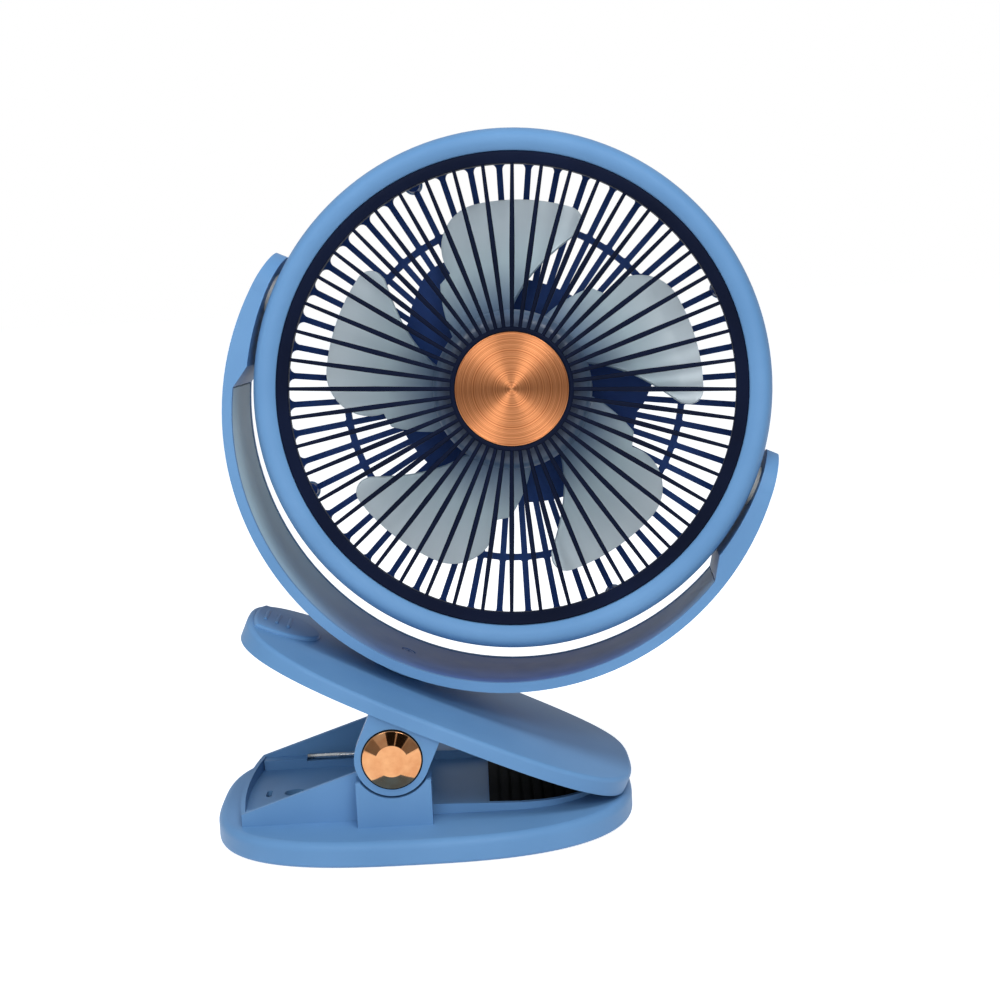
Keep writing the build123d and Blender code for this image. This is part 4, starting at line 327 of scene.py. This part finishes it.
# Zinc-plated pressings and screws, bright drawn spring wire, and brown sintered bronze.
ZINC_STEEL = worked_metal("zinc_plated_steel", "#a9adb1", "#c3c6c8", 0.22, 0.36)
SPRING_STEEL = worked_metal("drawn_spring_steel", "#b2b4b4", "#d9dad8", 0.2, 0.32, 1.1)
BRONZE = worked_metal("sintered_bronze", "#9c6f3c", "#b98a52", 0.4, 0.55)
# Moulded nylon washers, waxy white; sintered ferrite magnets, dull and nearly black.
NYLON = fine_skinned("moulded_white_nylon", "#e4e1d6", "#eceae0", 0.4, 0.5)
FERRITE = fine_skinned("sintered_ferrite", "#26262a", "#303035", 0.6, 0.75)
# The board's glossy green lacquer and the dull black epoxy of its parts.
BOARD = fine_skinned("green_solder_mask", "#1f5a3a", "#276a45", 0.25, 0.35)
BOARD_BLACK = fine_skinned("moulded_black_epoxy", "#15161a", "#1d1e22", 0.45, 0.6)
# Soft PVC shrunk tight over the cell, glossy, and drawn over the leads, duller.
CELL_SLEEVE = fine_skinned("shrunk_pvc_sleeve", "#2b6f62", "#32796b", 0.2, 0.32)
LEAD_SLEEVE = fine_skinned("extruded_lead_sleeve", "#8e2622", "#9c2f29", 0.35, 0.5)
# Frosted acrylic, which spreads the lamp's light evenly.
CLEAR_PLASTIC = fine_skinned("frosted_acrylic", "#cfdde2", "#dbe6ea", 0.3, 0.4)

FINISH_OF_SLOT = {
    "blue_plastic": BLUE,
    "navy_plastic": BLUE_IN_PAINTED_SHADE,
    "black_plastic": BLACK,
    "liner_plastic": LINER,
    "copper_disc": COPPER_DISC,
    "copper_chrome": COPPER_CAP,
    "smoked_blade": BLADES,
    "black_rubber": RUBBER,
    "bright_steel": ZINC_STEEL,
    "spring_steel": SPRING_STEEL,
    "nylon": NYLON,
    "magnet": FERRITE,
    "bronze": BRONZE,
    "board": BOARD,
    "board_black": BOARD_BLACK,
    "cell_sleeve": CELL_SLEEVE,
    "clear_plastic": CLEAR_PLASTIC,
    "lead_sleeve": LEAD_SLEEVE,
}

for node in nodes.values():
    for place in node.material_slots:
        place.material = FINISH_OF_SLOT[place.material.name.split(".")[0]]


# ---------------------------------------------------------------- making meshes
def piece_from(name, mesh, material, frame_matrix=None):
    """Puts a mesh into the scene as a piece, with its place in the mesh."""
    if frame_matrix is not None:
        mesh.transform(frame_matrix)
    mesh.materials.clear()
    mesh.materials.append(material)
    piece = bpy.data.objects.new(name, mesh)
    bpy.context.scene.collection.objects.link(piece)
    return piece


def mesh_from(name, shape, sharp_degrees=40.0):
    """Closes a bmesh's seams, turns its faces outwards and shades it smooth up to sharp edges."""
    bmesh.ops.remove_doubles(shape, verts=shape.verts, dist=1e-7)
    bmesh.ops.recalc_face_normals(shape, faces=shape.faces)
    for face in shape.faces:
        face.smooth = True
    mesh = bpy.data.meshes.new(name)
    shape.to_mesh(mesh)
    shape.free()
    mesh.set_sharp_from_angle(angle=math.radians(sharp_degrees))
    return mesh


def turned_profile(shape, profile, segments):
    """Turns (radius, y) points about the y axis into a band; the profile's ends may lie on the axis."""
    rings = []
    for radius, level in profile:
        if radius < 1e-6:
            rings.append([shape.verts.new((0.0, mm(level), 0.0))])
            continue
        ring = []
        for index in range(segments):
            angle = 2.0 * math.pi * index / segments
            corner = (mm(radius) * math.cos(angle), mm(level), mm(radius) * math.sin(angle))
            ring.append(shape.verts.new(corner))
        rings.append(ring)
    for inner, outer in zip(rings, rings[1:]):
        for index in range(segments):
            after = (index + 1) % segments
            corners = [inner[index % len(inner)], inner[after % len(inner)]]
            corners += [outer[after % len(outer)], outer[index % len(outer)]]
            unique = list(dict.fromkeys(corners))
            if len(unique) > 2:
                shape.faces.new(unique)


def arc_points(centre_radius, centre_y, radius, start, end, count):
    """Points (radius, y) along an arc, its angle measured from +radius towards +y."""
    points = []
    for index in range(count + 1):
        angle = math.radians(start + (end - start) * index / count)
        points.append((centre_radius + radius * math.cos(angle), centre_y + radius * math.sin(angle)))
    return points


def joined(name, meshes, material, frame_matrix):
    """One piece from several meshes that are in the same frame."""
    shape = bmesh.new()
    for mesh in meshes:
        shape.from_mesh(mesh)
    whole = bpy.data.meshes.new(name)
    shape.to_mesh(whole)
    shape.free()
    for mesh in meshes:
        bpy.data.meshes.remove(mesh)
    return piece_from(name, whole, material, frame_matrix)


def evaluated_mesh(carrier):
    """The mesh that an object's modifiers make; the object and its modifiers are removed."""
    bpy.context.view_layer.update()
    mesh = bpy.data.meshes.new_from_object(carrier.evaluated_get(bpy.context.evaluated_depsgraph_get()))
    carrier.modifiers.clear()
    bpy.data.objects.remove(carrier)
    return mesh


# ---------------------------------------------------------------- copies set round an axis
def ring_of_copies_tree():
    """Geometry nodes that set copies of one mesh round the y axis, evenly, from a first angle."""
    tree = bpy.data.node_groups.new("copies_round_the_axis", "GeometryNodeTree")
    face = tree.interface
    face.new_socket("Copy", in_out="INPUT", socket_type="NodeSocketGeometry")
    face.new_socket("Count", in_out="INPUT", socket_type="NodeSocketInt")
    face.new_socket("First angle", in_out="INPUT", socket_type="NodeSocketFloat")
    face.new_socket("Material", in_out="INPUT", socket_type="NodeSocketMaterial")
    face.new_socket("Geometry", in_out="OUTPUT", socket_type="NodeSocketGeometry")
    entry = put(tree, "NodeGroupInput").outputs
    points = put(tree, "GeometryNodePoints", inputs={"Count": entry["Count"]})
    number = put(tree, "GeometryNodeInputIndex").outputs["Index"]
    share = put(tree, "ShaderNodeMath", {"operation": "DIVIDE"}, {0: number, 1: entry["Count"]})
    whole = put(tree, "ShaderNodeMath", {"operation": "MULTIPLY"}, {0: share.outputs[0], 1: 2.0 * math.pi})
    angle = put(tree, "ShaderNodeMath", {"operation": "ADD"}, {0: whole.outputs[0], 1: entry["First angle"]})
    back = put(tree, "ShaderNodeMath", {"operation": "MULTIPLY"}, {0: angle.outputs[0], 1: -1.0})
    turn = put(tree, "ShaderNodeCombineXYZ", inputs={"Y": back.outputs[0]})
    copies = put(tree, "GeometryNodeInstanceOnPoints", inputs={
        "Points": points.outputs[0], "Instance": entry["Copy"], "Rotation": turn.outputs[0]})
    solid = put(tree, "GeometryNodeRealizeInstances", inputs={"Geometry": copies.outputs[0]})
    dressed = put(tree, "GeometryNodeSetMaterial", inputs={
        "Geometry": solid.outputs[0], "Material": entry["Material"]})
    put(tree, "NodeGroupOutput", inputs={"Geometry": dressed.outputs[0]})
    return tree


RING_OF_COPIES = ring_of_copies_tree()


def copies_round_axis(name, mesh, count, first_degrees, material):
    """Runs the tree on one mesh and returns the whole ring as a plain mesh."""
    carrier = bpy.data.objects.new(name + "_one", mesh)
    bpy.context.scene.collection.objects.link(carrier)
    modifier = carrier.modifiers.new("round", "NODES")
    modifier.node_group = RING_OF_COPIES
    values = {"Count": count, "First angle": math.radians(first_degrees), "Material": material}
    for socket in RING_OF_COPIES.interface.items_tree:
        if socket.name in values:
            modifier[socket.identifier] = values[socket.name]
    carrier.update_tag()
    ring = evaluated_mesh(carrier)
    ring.name = name
    return ring


# ---------------------------------------------------------------- front grille
def grille_rib():
    """One rib lying along +x, its front rounded, widest in its middle."""
    shape = bmesh.new()
    front, back, corner = RIB_FRONT_Y, RIB_BACK_Y, RIB_ROUND
    loops = []
    for radius, width in RIB_STATIONS:
        half = width / 2.0
        outline = [(-half, back), (-half, front + corner), (-half + corner * 0.35, front + corner * 0.3)]
        outline += [(-half + corner * 1.1, front), (half - corner * 1.1, front)]
        outline += [(half - corner * 0.35, front + corner * 0.3), (half, front + corner), (half, back)]
        loops.append([shape.verts.new((mm(radius), mm(level), mm(across))) for across, level in outline])
    for near, far in zip(loops, loops[1:]):
        for index in range(len(near)):
            after = (index + 1) % len(near)
            shape.faces.new((near[index], near[after], far[after], far[index]))
    shape.faces.new(loops[0])
    shape.faces.new(loops[-1])
    return mesh_from("grille_rib", shape, 50.0)


def front_grille():
    """The black front moulding: rim, hub ring and 48 straight ribs."""
    ribs = copies_round_axis("ribs", grille_rib(), RIB_COUNT, RIB_PHASE, BLACK)
    shape = bmesh.new()
    front = GRILLE_FRONT_Y
    inner, outer, corner = GRILLE_RIM_INNER, GRILLE_RIM_OUTER, GRILLE_RIM_ROUND
    flange_back = FLANGE_FRONT_Y + FLANGE_THICK
    rim = arc_points(inner + corner, front + corner, corner, 180, 270, 5)
    rim += arc_points(outer - corner, front + corner, corner, 270, 360, 5)
    rim += [(outer, FLANGE_FRONT_Y), (GRILLE_FLANGE, FLANGE_FRONT_Y), (GRILLE_FLANGE, flange_back)]
    rim += [(inner, flange_back), (inner, front + corner)]
    turned_profile(shape, rim, 256)
    ring, bore, corner = HUB_RING_RADIUS, DISC_RADIUS + DISC_GAP, HUB_RING_ROUND
    seat, back, floor = front + DISC_SEAT_DEPTH, front + HUB_RING_DEPTH, front + HUB_FLOOR_DEPTH
    hub = [(bore, seat), (bore, front + DISC_GAP), (bore + DISC_GAP, front)]
    hub += arc_points(ring - corner, front + corner, corner, 270, 360, 5)
    hub += [(ring, back), (ring - HUB_RING_WALL, back), (ring - HUB_RING_WALL, floor), (0.0, floor)]
    turned_profile(shape, hub, 160)
    turned_profile(shape, [(0.0, seat), (bore, seat)], 160)
    body = mesh_from("grille_body", shape, 50.0)
    return joined("front_grille_moulding", (body, ribs), BLACK, HEAD_FRAME)


# ---------------------------------------------------------------- hub disc
def lay_rings_map(shape):
    """A UV map that runs round the disc and out from its centre, so that the sheen follows the rings."""
    rings = shape.loops.layers.uv.new("rings")
    for face in shape.faces:
        middle = face.calc_center_median()
        base = math.atan2(middle.z, middle.x)
        for loop in face.loops:
            at = loop.vert.co
            angle = math.atan2(at.z, at.x) if at.xz.length > 1e-9 else base
            while angle - base > math.pi:
                angle -= 2.0 * math.pi
            while angle - base < -math.pi:
                angle += 2.0 * math.pi
            loop[rings].uv = (angle / (2.0 * math.pi) + 0.5, at.xz.length / mm(DISC_RADIUS))


def hub_disc():
    """The spun disc: fine rings pressed into a slightly hollow face, and a plain turned-over edge."""
    shape = bmesh.new()
    middle, corner = DISC_FRONT_Y + DISC_HOLLOW, DISC_EDGE_ROUND
    ring_count = int((DISC_RADIUS - DISC_PLAIN_EDGE) / DISC_RING_PITCH)
    steps = 6
    profile = [(0.0, middle)]
    for index in range(ring_count * steps):
        radius = (index + 1) * DISC_RING_PITCH / steps
        wave = math.cos(2.0 * math.pi * radius / DISC_RING_PITCH)
        profile.append((radius, middle - DISC_RING_DEPTH * wave * 0.5))
    profile += [(DISC_RADIUS - DISC_PLAIN_EDGE + 0.1, DISC_FRONT_Y)]
    profile += arc_points(DISC_RADIUS - corner, DISC_FRONT_Y + corner, corner, 270, 360, 4)
    profile += [(DISC_RADIUS, DISC_BACK_Y), (0.0, DISC_BACK_Y)]
    turned_profile(shape, profile, 180)
    lay_rings_map(shape)
    mesh = mesh_from("spun_hub_disc", shape, 60.0)
    return piece_from("spun_hub_disc", mesh, COPPER_DISC, HEAD_FRAME)


# ---------------------------------------------------------------- black rings round the hinge caps, as painted shadow
def cap_shadow_rings():
    """Thin black rings put in the gap round each copper cap as painted shadow, their lips lying on the ears.
    """
    shape = bmesh.new()
    inner, gap, outer = CAP_RADIUS + 0.03, CAP_RADIUS + 0.12, CAP_RADIUS + SHADOW_RING_WIDTH
    for side in (-1, 1):
        foot, face, lip = (side * (EAR_FACE_Y + step) for step in (-SHADOW_RING_FOOT_DEPTH, 0.01, SHADOW_RING_PROUD))
        outline = [(inner, foot), (inner, lip), (outer - 0.08, lip), (outer, face), (gap, face), (gap, foot)]
        turned_profile(shape, outline + outline[:1], 96)
    return piece_from("cap_shadow_rings", mesh_from("cap_shadow_rings", shape), RUBBER, moved(HINGE_X, 0, HINGE_Z))


# ---------------------------------------------------------------- hinge springs, copied smooth
def winding_spring(node_name):
    """A hinge spring copied from its part, merged and shaded smooth, in the part's place."""
    shape = bmesh.new()
    shape.from_mesh(nodes[node_name].data)
    bmesh.ops.remove_doubles(shape, verts=shape.verts, dist=1e-6)
    spring = piece_from(node_name + "_winding", mesh_from(node_name + "_winding", shape, 60.0), SPRING_STEEL)
    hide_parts(node_name)
    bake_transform(spring)


# ---------------------------------------------------------------- impeller
def blade_middle(radius):
    """How far the blade's middle runs ahead of its index line; it is furthest at the hub."""
    share = max(0.0, BLADE_STRAIGHT_RADIUS - radius) / (BLADE_STRAIGHT_RADIUS - IMPELLER_HUB_RADIUS)
    return BLADE_SWEEP * share ** BLADE_SWEEP_POWER


def blade_level(radius, angle):
    """The blade's place along the axis: a steady rise across it, with a little camber."""
    share = (angle - blade_middle(radius)) / BLADE_SPAN
    return BLADE_LEVEL_Y + BLADE_RISE * share + BLADE_CAMBER * math.cos(math.pi * share)


def plain_edge(radius, side):
    """A blade's side edge before its tip is rounded, counted away from the index line."""
    return blade_middle(radius) * side + BLADE_SPAN / 2.0


def tip_corner_angle(side):
    """Where a tip corner's round has its centre, so that it just touches the blade's side edge."""
    corner = BLADE_TIP_CORNERS[side]
    reach = IMPELLER_TIP_RADIUS - corner
    tries = [34.0 + 0.3 * step for step in range(121)]      # radii that cover the blade's outer half
    low, high = -BLADE_SPAN / 2.0, BLADE_SPAN / 2.0
    for _ in range(40):
        angle = (low + high) / 2.0
        centre = Vector((math.cos(math.radians(angle)), math.sin(math.radians(angle)))) * reach
        nearest = math.inf
        for radius in tries:
            edge = math.radians(plain_edge(radius, side))
            nearest = min(nearest, (Vector((math.cos(edge), math.sin(edge))) * radius - centre).length)
        if nearest < corner:
            high = angle
        else:
            low = angle
    return (low + high) / 2.0


def blade_edge(radius, side, corner_angle):
    """The blade's limit at a radius, in degrees from its index line, on the side asked for."""
    plain = plain_edge(radius, side)
    corner = BLADE_TIP_CORNERS[side]
    reach = IMPELLER_TIP_RADIUS - corner
    cosine = (radius ** 2 + reach ** 2 - corner ** 2) / (2.0 * radius * reach)
    if abs(cosine) > 1.0 or radius < reach - corner * 0.4:
        return plain * side
    rounded = corner_angle + math.degrees(math.acos(cosine))
    return min(plain, rounded) * side


def blade_sheet():
    """The blade's middle surface, lying along +x: a screw-shaped sheet with rounded tip corners."""
    shape = bmesh.new()
    corners = {side: tip_corner_angle(side) for side in (-1, 1)}
    root, tip = IMPELLER_HUB_RADIUS - BLADE_ROOT_OVERLAP, IMPELLER_TIP_RADIUS - 0.02
    row_count, column_count = 34, 26
    rows = []
    for row in range(row_count + 1):
        share = row / row_count
        radius = root + (tip - root) * (1.0 - (1.0 - share) ** 1.6)     # rows lie closer towards the tip
        low = blade_edge(radius, -1, corners[-1])
        high = blade_edge(radius, 1, corners[1])
        line = []
        for column in range(column_count + 1):
            angle = low + (high - low) * column / column_count
            turn = math.radians(angle)
            level = mm(blade_level(radius, angle))
            line.append(shape.verts.new((mm(radius) * math.cos(turn), level, mm(radius) * math.sin(turn))))
        rows.append(line)
    for near, far in zip(rows, rows[1:]):
        for column in range(column_count):
            shape.faces.new((near[column], near[column + 1], far[column + 1], far[column]))
    return mesh_from("one_blade", shape, 60.0)


def fan_blade():
    """One blade with its thickness and softened edges."""
    blade = bpy.data.objects.new("one_blade", blade_sheet())
    bpy.context.scene.collection.objects.link(blade)
    wall = blade.modifiers.new("wall", "SOLIDIFY")
    wall.thickness = mm(BLADE_THICK)
    wall.offset = 0.0
    soft = blade.modifiers.new("soft_edge", "BEVEL")
    soft.width = mm(BLADE_EDGE_ROUND)
    soft.segments = 2
    soft.limit_method = "ANGLE"
    soft.angle_limit = math.radians(50)
    return evaluated_mesh(blade)


def impeller():
    """Cup-shaped hub with five blades, moulded in one."""
    blades = copies_round_axis("blades", fan_blade(), BLADE_COUNT, BLADE_FIRST_ANGLE, BLADES)
    shape = bmesh.new()
    radius, front, back = IMPELLER_HUB_RADIUS, IMPELLER_FRONT_Y, IMPELLER_BACK_Y
    corner, inside = IMPELLER_HUB_ROUND, IMPELLER_FRONT_Y + IMPELLER_HUB_WALL
    bore, boss, boss_back = SHAFT_RADIUS, IMPELLER_BOSS_RADIUS, IMPELLER_BOSS_BACK_Y
    cup = [(bore, front)]
    cup += arc_points(radius - corner, front + corner, corner, 270, 360, 10)
    cup += [(radius, back), (radius - IMPELLER_HUB_WALL, back), (radius - IMPELLER_HUB_WALL, inside)]
    cup += [(boss, inside), (boss, boss_back), (bore, boss_back), (bore, front)]
    turned_profile(shape, cup, 128)
    hub = mesh_from("impeller_hub", shape, 40.0)
    return joined("impeller_moulding", (hub, blades), BLADES, HEAD_FRAME)


# ---------------------------------------------------------------- the pieces and the bodies that carry them
winding_spring("torsion_spring_front")
winding_spring("torsion_spring_rear")

grille_piece = front_grille()
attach(grille_piece, "head")
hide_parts("front_grille")

disc_piece = hub_disc()
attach(disc_piece, "head")
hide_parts("hub_disc")

# Black rings as painted shadow round the caps.
shadow_ring_piece = cap_shadow_rings()
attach(shadow_ring_piece, "jaw")

impeller_piece = impeller()
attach(impeller_piece, "rotor")
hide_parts("fan_blade")

# ---------------------------------------------------------------- floor, light and camera
WHITE = (1.0, 1.0, 1.0, 1.0)
SHADE_LIGHT = (0.58, 0.77, 1.0, 1.0)        # the light that fills the shades is cool, as daylight is
SHADE_STRENGTH = 0.22
FLOOR_SEEN = 0.85                           # how much of white the floor adds where the camera looks
FLOOR_MIRRORED = 0.62                       # and where polished metal shows it
SKY_MIRRORED = 0.5
FLOOR_REACH = 4.0                           # metres
LAMPS_LOOK_AT = (0.03, 0.0, 0.14)           # metres, the fan's middle

# name, place in metres, side in metres, watts, and whether it shows in polished metal
SOFTBOXES = (
    ("left_softbox", (-0.42, -1.05, 0.86), 0.4, 2.6, True),
    ("right_softbox", (0.37, -1.05, 0.88), 0.4, 3.4, True),
    ("top_softbox", (0.12, -0.42, 1.15), 0.5, 6.2, False),
    ("low_fill", (0.1, -1.3, 0.1), 0.9, 5.5, False),
    ("left_fill", (-0.95, -0.2, 0.4), 0.5, 1.8, False),
)

# Upright cards behind the viewer, by the (x, z) corners of their outlines, in metres
CARD_Y = -1.0
GREY_LEFT = ((-1.6, 0.02), (-0.16, 0.02), (-0.1, 0.278), (-0.16, 0.36), (-1.6, 0.36))
GREY_RIGHT = ((0.13, 0.02), (1.6, 0.02), (1.6, 0.33), (0.13, 0.33), (0.07, 0.278))
DARK_LEFT = ((-0.2, 0.5), (-0.16, 0.39), (0.03, 0.39), (0.1, 0.5), (0.1, 0.62), (-0.2, 0.62))
DARK_RIGHT = ((0.125, 0.36), (0.43, 0.33), (0.43, 0.58), (0.16, 0.58), (0.125, 0.45))

SENSOR_WIDTH = 36.0
FOCAL_LENGTH = SENSOR_WIDTH * 1.905
EYE = (25.5, -705.7, 225.0)
EYE_TURN = (0.656, 8.60, 2.91)              # to the right, down, and rolled


def seen_white(tree, straight, mirrored):
    """How much white shows: straight or through glass, less in mirrors, and none lights other things."""
    path = put(tree, "ShaderNodeLightPath").outputs
    clear = put(tree, "ShaderNodeMath", {"operation": "MAXIMUM"}, {
        0: path["Is Camera Ray"], 1: path["Is Transmission Ray"]})
    to_camera = put(tree, "ShaderNodeMath", {"operation": "MULTIPLY"}, {
        0: clear.outputs[0], 1: straight})
    in_mirrors = put(tree, "ShaderNodeMath", {"operation": "MULTIPLY"}, {
        0: path["Is Glossy Ray"], 1: mirrored})
    both = put(tree, "ShaderNodeMath", {"operation": "MAXIMUM"}, {
        0: to_camera.outputs[0], 1: in_mirrors.outputs[0]})
    return both.outputs[0]


def stage_material(name, colour, roughness):
    """A matt material that may glow white; returns it with its tree and shader."""
    material, tree, shader, _ = finish_named(name, Roughness=roughness)
    shader.inputs["Base Color"].default_value = linear(colour)
    shader.inputs["Emission Color"].default_value = WHITE
    return material, tree, shader


def flat_mesh(name, outlines):
    """A mesh with one face for each outline of (x, y, z) points in metres."""
    shape = bmesh.new()
    for outline in outlines:
        shape.faces.new([shape.verts.new(corner) for corner in outline])
    mesh = bpy.data.meshes.new(name)
    shape.to_mesh(mesh)
    shape.free()
    return mesh


def pale_floor():
    """White paper that the fan stands on; it keeps the fan's shadow."""
    reach = FLOOR_REACH
    corners = ((-reach, -reach, 0.0), (reach, -reach, 0.0), (reach, reach, 0.0), (-reach, reach, 0.0))
    material, tree, shader = stage_material("matt_white_paper", "#f4f4f4", 0.95)
    glow = seen_white(tree, FLOOR_SEEN, FLOOR_MIRRORED)
    tree.links.new(glow, shader.inputs["Emission Strength"])
    piece_from("pale_floor", flat_mesh("pale_floor", (corners,)), material)


def mirror_cards(name, outlines, colour, glow):
    """Upright cards that only polished metal shows."""
    upright = [[(x, CARD_Y, z) for x, z in outline] for outline in outlines]
    material, _, shader = stage_material(name + "_stock", colour, 1.0)
    shader.inputs["Emission Strength"].default_value = glow
    cards = piece_from(name, flat_mesh(name, upright), material)
    cards.visible_camera = False
    cards.visible_diffuse = False
    cards.visible_shadow = False
    cards.visible_transmission = False


def softbox(name, at, size, watts, mirrored):
    """A square lamp that looks at the fan's middle."""
    lamp = bpy.data.lights.new(name, "AREA")
    lamp.shape = "SQUARE"
    lamp.size = size
    lamp.energy = watts
    holder = bpy.data.objects.new(name, lamp)
    bpy.context.scene.collection.objects.link(holder)
    holder.location = at
    holder.visible_glossy = mirrored
    holder.rotation_euler = (Vector(LAMPS_LOOK_AT) - Vector(at)).to_track_quat("-Z", "Y").to_euler()


def studio():
    """A white room whose own light is dim, with the softboxes."""
    world = bpy.data.worlds.new("studio")
    world.use_nodes = True
    tree = world.node_tree
    shade = tree.nodes["Background"]
    shade.inputs["Color"].default_value = SHADE_LIGHT
    shade.inputs["Strength"].default_value = SHADE_STRENGTH
    paper = put(tree, "ShaderNodeBackground", inputs={"Color": WHITE, "Strength": 1.0})
    room = put(tree, "ShaderNodeMixShader", inputs={
        0: seen_white(tree, 1.0, SKY_MIRRORED),
        1: shade.outputs["Background"],
        2: paper.outputs["Background"]})
    tree.links.new(room.outputs["Shader"], tree.nodes["World Output"].inputs["Surface"])
    bpy.context.scene.world = world
    bpy.context.scene.view_settings.view_transform = "Standard"
    for lamp in SOFTBOXES:
        softbox(*lamp)


def camera():
    """The viewpoint: in front, a little to the right and above, with a slight roll."""
    lens = bpy.data.cameras.new("camera")
    lens.sensor_width = SENSOR_WIDTH
    lens.lens = FOCAL_LENGTH
    lens.clip_start = 0.01
    eye = bpy.data.objects.new("camera", lens)
    bpy.context.scene.collection.objects.link(eye)
    yaw, pitch, roll = (math.radians(angle) for angle in EYE_TURN)
    ahead = Vector((math.sin(yaw) * math.cos(pitch), math.cos(yaw) * math.cos(pitch), -math.sin(pitch)))
    right = Vector((math.cos(yaw), -math.sin(yaw), 0.0))
    up = right.cross(ahead)
    across = math.cos(roll) * right - math.sin(roll) * up
    upright = math.sin(roll) * right + math.cos(roll) * up
    place = Matrix((across, upright, -ahead)).transposed().to_4x4()
    place.translation = [mm(value) for value in EYE]
    eye.matrix_world = place
    bpy.context.scene.camera = eye


pale_floor()
# The grey cards make the dark sides of the disc's hourglass, the dark ones the windows in the caps' bevels.
mirror_cards("grey_cards", (GREY_LEFT, GREY_RIGHT), "#a8a09a", 0.07)
mirror_cards("dark_cards", (DARK_LEFT, DARK_RIGHT), "#17120f", 0.0)
studio()
camera()


def plain(corners):
    return [[float(value) for value in corner] for corner in corners]
